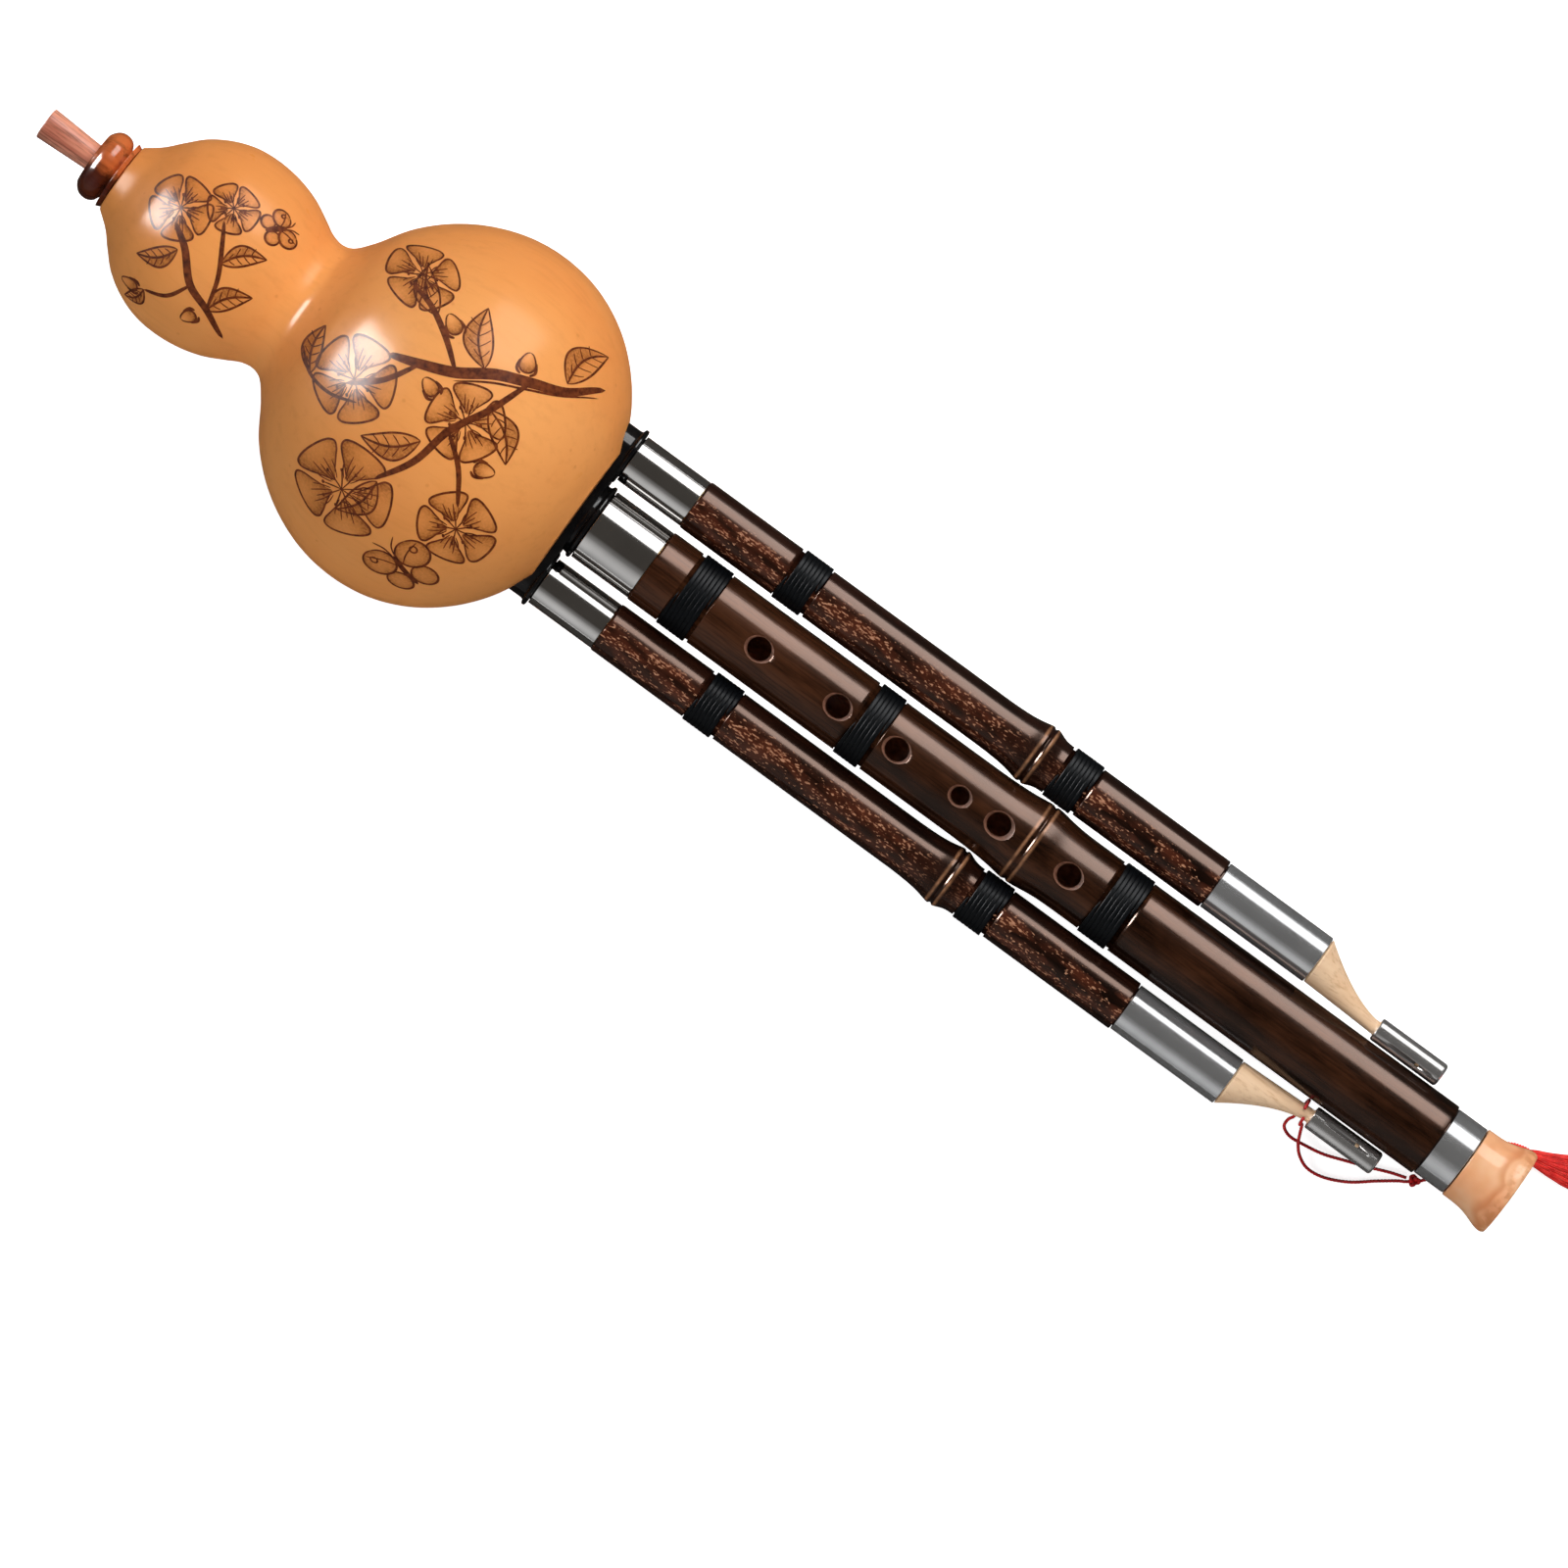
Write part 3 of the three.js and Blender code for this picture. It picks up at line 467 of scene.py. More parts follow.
# %% Tassel route and sizes
tassel_draw = np.random.default_rng(7)
head_route = np.array([[437.4, 7.7], [438.8, 8.2], [441.8, 9.1], [443.3, 9.5]])
head_half = np.array([1.5, 1.85, 1.85, 1.6])
head_thick = np.array([2.0, 2.4, 2.4, 2.2])
fringe_route = np.array([
    [443.1, 9.5], [448, 10.7], [453, 12.2], [464, 15.4], [480, 19], [498, 21.4], [516, 21.8],
    [531, 20.6], [543, 18.6],
])
fringe_half = np.array([1.5, 2.7, 3.9, 4.5, 4.9, 5.0, 5.3, 5.5, 5.4])
fringe_thick = np.array([2.1, 2.5, 3.3, 4.2, 4.7, 4.5, 4.1, 3.5, 2.7])
STRANDS = 420
STRAND_ROWS = 30
STRAND_RADIUS = 0.17


def fringe():
    """Strand k keeps its share (a, b) of the bundle's half width and thickness along the route."""
    across = tassel_draw.uniform(-1, 1, STRANDS)
    up = tassel_draw.uniform(0, 1, STRANDS) ** 0.8 * np.sqrt(1 - 0.72 * across**2)
    ends = 1 - 0.035 * tassel_draw.random(STRANDS) ** 2
    phase = tassel_draw.uniform(0, 2 * np.pi, (STRANDS, 4))
    share = np.linspace(0, 1, STRAND_ROWS)[None, :] * ends[:, None]
    knots = np.linspace(0, 1, len(fringe_route))
    along, side, half, thick = (
        np.interp(share, knots, values) for values in (*fringe_route.T, fringe_half, fringe_thick))
    way = unit(columns(np.gradient(along, axis=1), np.gradient(side, axis=1)))
    loose = 0.12 + 0.5 * share
    wander = loose * np.sin(9 * share + phase[:, :1]) + 0.4 * loose * np.sin(23 * share + phase[:, 1:2])
    lift = 0.5 * loose * np.sin(11 * share + phase[:, 2:3])
    place_across = across[:, None] * half + wander * 0.7
    height = np.clip(0.25 + up[:, None] * (thick - 0.45) + lift * 0.5, 0.2, None)
    along = along - place_across * way[..., 1]
    side = side + place_across * way[..., 0]
    centre = laid(along, side, height)
    angle = circle(3)
    tangent = unit(np.gradient(centre, axis=1))
    flat = unit(np.cross(tangent, [0, 0, 1.0]))
    raised = np.cross(flat, tangent)
    taper = np.concatenate([[0], np.ones(STRAND_ROWS - 2), [0]])[None, :, None, None]
    around = np.cos(angle)[:, None] * flat[:, :, None] + np.sin(angle)[:, None] * raised[:, :, None]
    points = centre[:, :, None] + STRAND_RADIUS * MM * taper * around
    quads = faces_of(STRAND_ROWS, 3, False)
    offsets = np.arange(STRANDS)[:, None, None] * STRAND_ROWS * 3
    quads = (quads[None] + offsets).reshape(-1, 4)
    return points.reshape(-1, 3), quads


fringe_piece = make_mesh("tassel_yarn", *fringe(), merge=0.0)
HEAD_CORE, HEAD_TURNS, HEAD_THREAD = 1.05, 9, 0.34
head_path = laid(*head_route.T, head_thick / 2 + 0.1)
head_core = sweep("tassel_core", evenly(spline(head_path), 40), HEAD_CORE * MM, 24)


def head_winding():
    """Thread wound round the head: a flattened helix whose pitch is the thread's own width."""
    share = np.linspace(0, 1, 36 * HEAD_TURNS + 1)
    centre = evenly(spline(head_path), len(share))
    angle = 2 * np.pi * HEAD_TURNS * share
    knots = np.linspace(0, 1, len(head_half))
    half = np.interp(share, knots, head_half) - 0.32
    thick = np.interp(share, knots, head_thick) / 2 - 0.32
    flat = unit(np.cross(np.gradient(centre, axis=0), [0, 0, 1.0]))
    up = np.array([0, 0, 1.0])
    return centre + MM * ((half * np.cos(angle))[:, None] * flat + (thick * np.sin(angle))[:, None] * up)


head_thread = sweep("tassel_winding", head_winding(), HEAD_THREAD * MM, 8)
head_piece = joined("tassel_head_winding", [head_core, head_thread])
KNOT_PLACE, KNOT_SIZE, KNOT_THREAD = (424.2, -12.5, 1.4), (0.42, 0.42, 0.75), 0.47


def knot_path():
    """A trefoil: (sin t + 2 sin 2t, cos t - 2 cos 2t, -sin 3t), scaled to the knot's size."""
    t = np.linspace(0, 2 * np.pi, 120, endpoint=False)
    loop = columns(np.sin(t) + 2 * np.sin(2 * t), np.cos(t) - 2 * np.cos(2 * t), -np.sin(3 * t))
    loop = laid(*KNOT_PLACE) + loop * np.array(KNOT_SIZE) * MM
    return np.vstack([loop, loop[:2]])


knot_piece = sweep("cord_knot", knot_path(), KNOT_THREAD * MM, 12, 3, 40, 0.2)
dress(fringe_piece, "wind_chest", "red_tassel", "tassel_fringe")
dress(head_piece, "wind_chest", "red_tassel", "tassel_head")
dress(knot_piece, "wind_chest", "red_tassel", "tassel_knot")
strand_1 = cord_piece("cord_first", first_strand, ["cord_strand_1"])
strand_2 = cord_piece(
    "cord_second", second_strand, ["cord_strand_2", "tassel_lead"])

# %% [markdown]
# ## Building materials
# A material is a small graph of nodes. A few helpers keep the graphs readable: one adds a node and
# wires or sets its inputs, one starts a material with its Principled shader, one wires that shader,
# and the others stand for the nodes that every finish needs.

# %% Helpers for materials


def add(tree, kind, inputs=None, **settings):
    """Adds a node; an input that is a socket is linked, any other value is set."""
    made = tree.nodes.new(kind)
    for key, value in settings.items():
        setattr(made, key, value)
    for key, value in (inputs or {}).items():
        if isinstance(value, bpy.types.NodeSocket):
            tree.links.new(value, made.inputs[key])
        else:
            made.inputs[key].default_value = value
    return made


def new_material(name, **values):
    """A material with a Principled shader whose plain values sit on its own sockets."""
    material = bpy.data.materials.new(name)
    material.use_nodes = True
    shader = material.node_tree.nodes["Principled BSDF"]
    for key, value in values.items():
        shader.inputs[key.replace("_", " ")].default_value = value
    return material, material.node_tree, shader


def wire(shader, colour, roughness=None, normal=None):
    """Links the colour of a shader and, where given, its roughness and its normal."""
    for key, value in (("Base Color", colour), ("Roughness", roughness), ("Normal", normal)):
        if value is not None:
            shader.id_data.links.new(value, shader.inputs[key])


def own_place(tree, side=0.0, scale=(1, 1, 1)):
    """Object coordinates turned to along, side and front and centred on one pipe, in metres."""
    coordinates = add(tree, "ShaderNodeTexCoord").outputs["Object"]
    tip = own_ways @ TIP
    centre = (-tip[0], -tip[1] - side * MM, -tip[2])
    turned = add(tree, "ShaderNodeMapping", {
        "Vector": coordinates, "Rotation": (0, -lean, 0), "Location": centre}).outputs["Vector"]
    return add(tree, "ShaderNodeMapping", {"Vector": turned, "Scale": scale}).outputs["Vector"]


def parts_of(tree, vector):
    """The three numbers of a vector, as X, Y and Z."""
    return add(tree, "ShaderNodeSeparateXYZ", {"Vector": vector}).outputs


def ramp(tree, factor, *stops):
    """A colour ramp with stops of (place, colour); a single number stands for a grey."""
    made = add(tree, "ShaderNodeValToRGB", {"Fac": factor})
    elements = made.color_ramp.elements
    while len(elements) < len(stops):
        elements.new(0.5)
    for element, (position, colour) in zip(elements, stops):
        element.position = position
        element.color = (*(colour if isinstance(colour, tuple) else 3 * (colour,)), 1)
    return made.outputs["Color"]


def math_node(tree, operation, *values, clamp=False):
    """One sum of two or three values."""
    inputs = dict(enumerate(values))
    return add(tree, "ShaderNodeMath", inputs, operation=operation, use_clamp=clamp).outputs[0]


def remap(tree, value, low, high, to_low=0.0, to_high=1.0, kind="LINEAR"):
    """Takes the range from low to high to the range from to_low to to_high, and stops at its ends."""
    return add(tree, "ShaderNodeMapRange", {
        "Value": value, "From Min": low, "From Max": high, "To Min": to_low, "To Max": to_high},
        interpolation_type=kind).outputs[0]


def mix_colour(tree, factor, first, second, blend="MIX"):
    """Blends a colour into another by a factor."""
    second = second if isinstance(second, bpy.types.NodeSocket) else (*second, 1)
    first = first if isinstance(first, bpy.types.NodeSocket) else (*first, 1)
    return add(tree, "ShaderNodeMix", {0: factor, 6: first, 7: second}, data_type="RGBA",
               blend_type=blend).outputs[2]


def noise(tree, vector, scale, detail=3.0, roughness=0.55):
    """Soft noise from 0 to 1."""
    return add(tree, "ShaderNodeTexNoise", {
        "Vector": vector, "Scale": scale, "Detail": detail, "Roughness": roughness}).outputs["Fac"]


def bump(tree, height, strength, distance):
    """A small relief, with its depth in millimetres."""
    return add(tree, "ShaderNodeBump", {
        "Height": height, "Strength": strength, "Distance": distance * MM}).outputs["Normal"]


def paint(thing, material):
    """Gives a piece its one material."""
    thing.data.materials.clear()
    thing.data.materials.append(material)


# %% [markdown]
# ## Effects that several finishes share
# Bamboo, rosewood and pale wood all have fibres that run lengthwise, and every handled surface has
# faint smudges and fine specks. Each effect is one node group with its own inputs, so that
# every material can ask for it in its own measure.

# %% Group: long fibres


def new_group(name, inputs, *outputs):
    """A shader node group. An input without a value is a vector; all the rest are numbers."""
    made = bpy.data.node_groups.new(name, "ShaderNodeTree")
    for label, value in inputs.items():
        kind = "NodeSocketVector" if value is None else "NodeSocketFloat"
        socket = made.interface.new_socket(name=label, in_out="INPUT", socket_type=kind)
        if value is not None:
            socket.default_value = value
    for label in outputs:
        made.interface.new_socket(name=label, in_out="OUTPUT", socket_type="NodeSocketFloat")
    return made, made.nodes.new("NodeGroupInput").outputs, made.nodes.new("NodeGroupOutput").inputs


fibres, given, result = new_group(
    "long_fibres", {"Vector": None, "Fineness": 900.0, "Stretch": 0.02}, "Fibres", "Streaks")
squeezed = add(fibres, "ShaderNodeCombineXYZ", {"X": given["Stretch"], "Y": 1.0, "Z": 1.0}).outputs[0]
lengthwise = add(
    fibres, "ShaderNodeVectorMath", {0: given["Vector"], 1: squeezed}, operation="MULTIPLY").outputs[0]
coarse = math_node(fibres, "MULTIPLY", given["Fineness"], 0.22)
fibres.links.new(noise(fibres, lengthwise, given["Fineness"], 4.0, 0.6), result["Fibres"])
fibres.links.new(noise(fibres, lengthwise, coarse, 3.0), result["Streaks"])

# %% Group: smudges and fine specks
handled, given, result = new_group(
    "handled", {"Vector": None, "Base": 0.2, "Amount": 0.1}, "Roughness", "Smudges")
smudge = noise(handled, given["Vector"], 60.0, 3.0, 0.6)
speck = noise(handled, given["Vector"], 400.0, 2.0, 0.5)
both = math_node(handled, "MULTIPLY_ADD", speck, 0.4, smudge)
centred = math_node(handled, "SUBTRACT", both, 0.7)
varied = math_node(handled, "MULTIPLY_ADD", centred, given["Amount"], given["Base"])
handled.links.new(varied, result["Roughness"])
handled.links.new(smudge, result["Smudges"])


def group(tree, made, **inputs):
    """Places a group in a material with its own values."""
    return add(tree, "ShaderNodeGroup", inputs, node_tree=made).outputs


def touched(tree, vector, base, amount):
    """The roughness of a surface that hands have touched."""
    return group(tree, handled, Vector=vector, Base=base, Amount=amount)["Roughness"]


def cloudy(name, scale, detail, low, high, rough=None, relief=None, **values):
    """A finish whose colour follows one noise between two stops. It may be touched, and the same
    noise may raise it."""
    material, tree, shader = new_material(name, **values)
    where = own_place(tree)
    clouds = noise(tree, where, scale, detail)
    wire(shader, ramp(tree, clouds, low, high), rough and touched(tree, where, *rough),
         relief and bump(tree, clouds, *relief))
    return material


# %% [markdown]
# ## Red cord and yarn
# The yarn is dyed, so its colour is deep and even, but it turns a little darker and brighter from
# place to place, and the fine fibres give it sheen.

# %% Red materials


def yarn_material(name, low, high, scale, along_thread):
    """Dyed yarn with soft changes of tone and a fine fuzz, which may follow the thread."""
    material, tree, shader = new_material(
        name, Roughness=0.62, Specular_IOR_Level=0.12, Sheen_Weight=0.25, Sheen_Roughness=0.4,
        Sheen_Tint=(1, 0.35, 0.3, 1))
    where = fuzz_at = add(tree, "ShaderNodeTexCoord").outputs["Object"]
    if along_thread:
        fuzz_at = add(tree, "ShaderNodeUVMap", uv_map="place").outputs["UV"]
    wire(shader, ramp(tree, noise(tree, where, scale, 2.0), (0.3, low), (0.7, high)),
         normal=bump(tree, noise(tree, fuzz_at, 5200.0, 2.0), 0.35, 0.06))
    return material


cord_red = yarn_material("red cord", (0.40, 0.010, 0.014), (0.80, 0.028, 0.030), 1500.0, True)
yarn_red = yarn_material("red yarn", (0.80, 0.016, 0.016), (0.98, 0.060, 0.045), 420.0, False)
for piece in (strand_1, strand_2, knot_piece):
    paint(piece, cord_red)
for piece in (fringe_piece, head_piece):
    paint(piece, yarn_red)

# %% [markdown]
# ## Mouthpiece
# The mouthpiece is a short turned tube of pinkish rosewood, pushed through a darker polished
# collar that closes the gourd's neck. Its sawn end shows open pores, and its bore is open.

# %% Mouthpiece tube
MOUTH_BORE, MOUTH_TIP, MOUTH_ROOT = 2.2, 4.2, 3.5
collar_at = span("mouthpiece_collar")[0][0]
tube_end = span("mouthpiece_tube")[1][0]
mouthpiece = turn("mouthpiece", eased([
    [0, MOUTH_TIP], [collar_at, MOUTH_ROOT], [tube_end, MOUTH_ROOT], [tube_end, MOUTH_BORE],
    [0, MOUTH_BORE]], 0.45))

# %% Turned collar
COLLAR_RADIUS, COLLAR_LENGTH, SPIGOT = 9.4, 8.2, 6.7


def collar_outline():
    """A bead: a superellipse for the ball, a narrow cove at its back, then the seat in the neck."""
    share = np.linspace(0, 1, 60)
    ball = np.clip(1 - np.abs((share - 0.42) / 0.60) ** 2.3, 0, 1) ** 0.5
    cove = 0.055 * np.exp(-(((share - 0.80) / 0.05) ** 2))
    radius = COLLAR_RADIUS * np.maximum(np.maximum(ball, 0.50) - cove, 0.45)
    radius = np.where(share > 0.86, COLLAR_RADIUS * (0.985 - 0.06 * (share - 0.86) / 0.14), radius)
    face = columns(collar_at + share * COLLAR_LENGTH, radius)
    end, seat = collar_at + COLLAR_LENGTH, span("mouthpiece_collar")[1][0]
    bore = MOUTH_ROOT + 0.05
    back = eased([[end, SPIGOT], [seat, SPIGOT], [seat, bore], [collar_at, bore]], 0.2)
    return np.vstack([face, [[end, SPIGOT + 0.3]], back[3:]])


collar = turn("collar", collar_outline())
dress(mouthpiece, "wind_chest", "mouthpiece_wood", "mouthpiece_tube")
dress(collar, "wind_chest", "collar_rosewood", "mouthpiece_collar")

# %% Rosewood materials


def rosewood(name, dark, light, roughness, coat, fineness, shade_border, shade_colour):
    """Reddish wood: broad streaks choose the tone, fine fibres and pores darken it, and on the minus
    side of a wavy border, that many millimetres to the side, it is painted dark as shade."""
    material, tree, shader = new_material(
        name, Coat_Weight=coat, Coat_Roughness=0.08, Specular_IOR_Level=0.12)
    where = own_place(tree)
    grain = group(tree, fibres, Vector=where, Fineness=fineness, Stretch=0.05)
    tone = ramp(tree, grain["Streaks"], (0.36, dark), (0.60, light))
    pores = ramp(tree, grain["Fibres"], (0.36, 0.35), (0.5, 1))
    # Painted shade: on the minus side of a wavy border the wood is painted dark.
    wavy = math_node(
        tree, "MULTIPLY_ADD", noise(tree, where, 220.0, 2.0), 0.003, parts_of(tree, where)["Y"])
    inner = remap(tree, wavy, (shade_border - 0.4) * MM, (shade_border + 2.2) * MM, 0.9, 0.0, "SMOOTHSTEP")
    tone = mix_colour(tree, inner, tone, shade_colour)
    wire(shader, mix_colour(tree, 0.75, tone, pores, "MULTIPLY"), touched(tree, where, roughness, 0.12),
         bump(tree, grain["Fibres"], 0.25, 0.05))
    return material


# The last two values of each: where the painted shade begins to the side, and its dark colour.
paint(mouthpiece, rosewood(
    "pink rosewood", (0.50, 0.15, 0.09), (0.90, 0.38, 0.24), 0.38, 0.08, 1500.0, -2.4,
    (0.10, 0.026, 0.016)))
paint(collar, rosewood(
    "polished rosewood", (0.38, 0.060, 0.013), (0.66, 0.165, 0.043), 0.20, 0.30, 500.0, 0.4,
    (0.035, 0.004, 0.002)))

# %% [markdown]
# ## The gourd
# A hulusi is named for this bottle gourd. It grows, so it is never quite round: its outline is a
# spline through measured radii, and a slow swell round it takes away the lathe's perfection. The
# rind has a wall, so the inside is a second skin that follows the outer one, and the two meet at
# the neck and at the base.

# %% Gourd shape
WALL = 3.2
NECK_BORE = 7.0
outer_radii = np.array([
    [23.1, 9.3], [27.0, 12.4], [30.4, 16.15], [34.6, 20.4], [39.8, 23.6], [45.5, 25.6], [51.5, 26.2],
    [58.1, 25.6], [64.3, 23.85], [69.6, 21.2], [73.2, 19.3], [76.3, 18.75], [78.9, 19.6], [82.5, 23.7],
    [88.1, 32.1], [95.3, 39.1], [103.6, 44.2], [112.7, 47.4], [122.3, 48.4], [132.1, 47.1],
    [141.4, 43.3], [149.7, 37.2], [156.5, 29.1], [161.5, 19.5]])
inner_radii = np.array([
    [31.6, 7.0], [33.0, 13.0], [36.5, 17.6], [41.2, 20.7], [51.5, 23.0], [60.2, 21.9], [67.3, 18.8],
    [72.4, 16.3], [76.3, 15.5], [79.6, 17.0], [85.3, 23.6], [94.8, 34.6], [107.7, 42.4], [122.3, 45.2],
    [137.0, 41.9], [149.6, 32.7], [157.2, 21.2], [158.3, 18.0]])


def flat_spline(points, per_span):
    """The spline of 2D points."""
    return spline(np.pad(np.asarray(points, float), ((0, 0), (0, 1))), per_span)[:, :2]


def gourd_rows():
    """The closed profile: out along the rind, over the base end, back inside, and the neck's rim."""
    outside = flat_spline(outer_radii, 14)
    inside = flat_spline(inner_radii, 5)[::-1]
    wall_end = gourd_end - WALL
    core = [[gourd_end, 19.0], [gourd_end, 7.9], [wall_end, 7.9], [wall_end, 17.5]]
    rim = [[31.6, NECK_BORE], [gourd_at + 0.5, NECK_BORE], [gourd_at, NECK_BORE + 0.5], [gourd_at, 8.9]]
    return np.vstack([outside, core, inside, rim]), len(outside)


def swell(along, angle):
    """How far the rind stands out of round, in waves two and three times round: at most 0.05 mm."""
    lobes = 0.55 * np.sin(2 * angle + along / 28) + 0.45 * np.sin(3 * angle - along / 17)
    envelope = np.clip((along - gourd_at) / 12, 0, 1) * np.clip((150 - along) / 14, 0, 1)
    return np.minimum(0.3 * lobes * envelope, 0.05)


def grown(points, outer_count):
    """The outer skin swells and dips; the skin inside stays round."""
    along, side, front = points[..., 0], points[..., 1], points[..., 2]
    out = swell(along, np.arctan2(side, front))
    out[outer_count:] = 0
    scale = 1 + out / np.maximum(np.hypot(side, front), 1)
    return columns(along, side * scale, front * scale)


profile, outer_count = gourd_rows()
GOURD_ROUND = 256
gourd = grid_mesh(
    "gourd", grown(ring_points(profile, 0, GOURD_ROUND), outer_count), True,
    length=np.maximum.accumulate(profile[:, 0]), width=2 * np.pi * outer_radii[:, 1].max())
dress(gourd, "wind_chest", "gourd_lacquer", "gourd_shell")
print("gourd", len(gourd.data.polygons), "faces")

# %% [markdown]
# ## The gourd's lacquer
# Under the clear lacquer the rind is orange tan. It is browner in broad soft clouds, and it carries
# faint fibres and a few darker freckles. Towards its minus side it is painted a little browner as
# shade. The gloss comes from a coat on top, which stays smooth over the slightly rough rind. Where
# the burnt drawing is shaded, a wash value turns the rind brown; the drawing's own pieces carry that value.

# %% Gourd material
gourd_lacquer, tree, shader = new_material(
    "gourd lacquer", Coat_Roughness=0.18, Coat_IOR=1.4, Specular_IOR_Level=0.03)
where = own_place(tree)
clouds = noise(tree, where, 16.0, 3.0, 0.5)
grain = group(tree, fibres, Vector=where, Fineness=420.0, Stretch=0.12)
across = parts_of(tree, where)
tone = ramp(tree, clouds, (0.30, (0.84, 0.290, 0.072)), (0.52, (0.90, 0.350, 0.095)),
            (0.74, (0.94, 0.405, 0.125)))
# Painted shade: towards its minus side the rind is mixed up to a tenth of the way to dark brown.
shade = remap(tree, across["Y"], -0.050, -0.004, 0.10, 0.0)
tone = mix_colour(tree, shade, tone, (0.36, 0.135, 0.034))
fleck = ramp(tree, grain["Fibres"], (0.30, (0.72, 0.66, 0.6)), (0.50, 1))
tone = mix_colour(tree, 0.18, tone, fleck, "MULTIPLY")
cells = add(tree, "ShaderNodeTexVoronoi", {"Vector": where, "Scale": 130.0}, feature="F1")
freckles = ramp(tree, cells.outputs["Distance"], (0.035, (0.55, 0.36, 0.25)), (0.085, 1))
tone = mix_colour(tree, 0.22, tone, freckles, "MULTIPLY")
wash = parts_of(tree, add(tree, "ShaderNodeUVMap", uv_map="wash").outputs["UV"])["X"]
stipple = remap(tree, noise(tree, where, 1500.0, 2.0), 0.3, 0.65, 0.55, 1.0)
wash = math_node(tree, "MULTIPLY", wash, stipple)
brown = mix_colour(tree, wash, (0.62, 0.175, 0.028), (0.12, 0.026, 0.006))
tone = mix_colour(tree, math_node(tree, "POWER", wash, 0.65), tone, brown)
wire(shader, tone, touched(tree, where, 0.30, 0.10), bump(tree, clouds, 0.10, 0.30))
tree.links.new(remap(tree, across["X"], 0.029, 0.038, 0.01, 0.13), shader.inputs["Coat Weight"])
paint(gourd, gourd_lacquer)

# %% [markdown]
# ## The burnt drawing
# Gourds are decorated with a hot needle. The lines are dark brown and the shading inside them is a
# softer brown, all under the same lacquer. This drawing is a plum branch with five-petal blossoms,
# buds and leaves, and two butterflies. Each stroke and each shaded shape is drawn flat, in
# millimetres along the gourd and round it, and is then laid on the rind as a very thin piece.

# %% From the flat drawing to the rind
INK_SINK = 0.25
rind = flat_spline(outer_radii, 40)


def on_rind(flat, lift):
    """A point of the drawing: its second number is an arc length, measured from the front."""
    along, round_it = flat[..., 0], flat[..., 1]
    radius = np.interp(along, rind[:, 0], rind[:, 1])
    slope = np.interp(along, rind[:, 0], np.gradient(rind[:, 1], rind[:, 0]))
    angle = round_it / np.maximum(radius, 5)
    out = lift / np.sqrt(1 + slope**2)
    radius = radius + swell(along, angle) + out
    return columns(along - out * slope, radius * np.sin(angle), radius * np.cos(angle))


def laid_on(flat, lift):
    """A slab on the rind: the flat grid on top, and its two edges again below the rind. Its first
    and last rows have no width, so the slab is closed there once its doubles are merged."""
    edges = flat[:, [-1, 0]]
    return np.concatenate([on_rind(flat, lift), on_rind(edges, -INK_SINK)], axis=1)


def turned_flat(flat, centre, size, turn):
    """Scales, turns and moves a flat drawing."""
    spin = np.array([[math.cos(turn), math.sin(turn)], [-math.sin(turn), math.cos(turn)]])
    return np.asarray(centre, float) + np.asarray(flat, float) @ spin * size


def placed(lines, shades, centre, size, turn):
    """The lines and shaded shapes of a motif, moved to their place on the gourd."""
    return ([(turned_flat(line, centre, size, turn), width) for line, width in lines],
            [(turned_flat(grid, centre, size, turn), wash) for grid, wash in shades])


def stroke(line, width):
    """A ribbon along a flat line: half width is width/2 sqrt(4 s (1 - s)) at share s of the line."""
    path = flat_spline(line, 8)
    way = np.gradient(path, axis=0)
    way /= np.linalg.norm(way, axis=1, keepdims=True) + 1e-9
    share = np.linspace(0, 1, len(path))
    half = width / 2 * np.sqrt(4 * share * (1 - share)) ** 0.6
    aside = columns(-way[:, 1], way[:, 0]) * half[:, None]
    return np.stack([path - aside, path + aside], axis=1)


# %% [markdown]
# ## Blossoms, leaves and wings
# Every motif gives two lists: its lines, each with a width, and its shaded shapes. A shaded shape
# is a grid of flat points with a wash value from 0 to 1 at each point.

# %% Motifs
spread = np.linspace(-1, 1, 9)[None, :]


def shape(axis, half, wash):
    """A grid across an axis: each row runs from minus half to plus half of the width there."""
    grid = columns(axis[:, :1] + 0 * spread, axis[:, 1:] + half[:, None] * spread)
    return grid, np.clip(wash, 0, 1)


def petal():
    """Length is sin(pi t)^0.75 and half width 0.55 sin(2 pi t) sin(pi t)^0.3, from base to tip."""
    t = np.linspace(0.02, 0.5, 14)
    out = 0.10 + 0.90 * np.sin(np.pi * t) ** 0.75
    half = 0.55 * np.sin(2 * np.pi * t) * np.sin(np.pi * t) ** 0.3
    half[[0, -1]] = 0
    far = out[:, None]
    wash = 0.16 + 0.85 * np.exp(-((far / 0.56) ** 2)) + 0.55 * np.abs(spread) ** 3 * far
    wash = wash + 0.28 * np.maximum(spread, 0)
    edge = np.concatenate([columns(out, half), columns(out, -half)[::-1]])
    return shape(columns(out, 0), half, wash), edge


def blossom(centre, size, turn):
    """Five shaded petals, short strokes that run out from each base, and stamens with dots."""
    lines, shades = [], []
    (grid, wash), edge = petal()
    for k in range(5):
        angle = turn + 2 * np.pi * k / 5
        lines.append((turned_flat(edge[::2], centre, size, angle), 0.55))
        shades.append((turned_flat(grid, centre, size, angle), wash))
        for aside, reach in ((-0.22, 0.58), (-0.09, 0.70), (0.05, 0.62), (0.17, 0.74), (0.27, 0.55)):
            hatch = np.array([[0.22, aside * 0.3], [(0.22 + reach) / 2, aside * 0.75], [reach, aside]])
            lines.append((turned_flat(hatch, centre, size, angle), 0.30))
    for k in range(9):
        angle = turn + 0.4 + 2 * np.pi * k / 9
        tip = turned_flat([0.40 + 0.05 * (k % 2), 0], centre, size, angle)
        lines.append((np.array([centre, (centre + tip) / 2 + 0.1, tip]), 0.34))
        lines.append((np.array([tip - 0.25, tip, tip + 0.25]), 0.95))
    return lines, shades


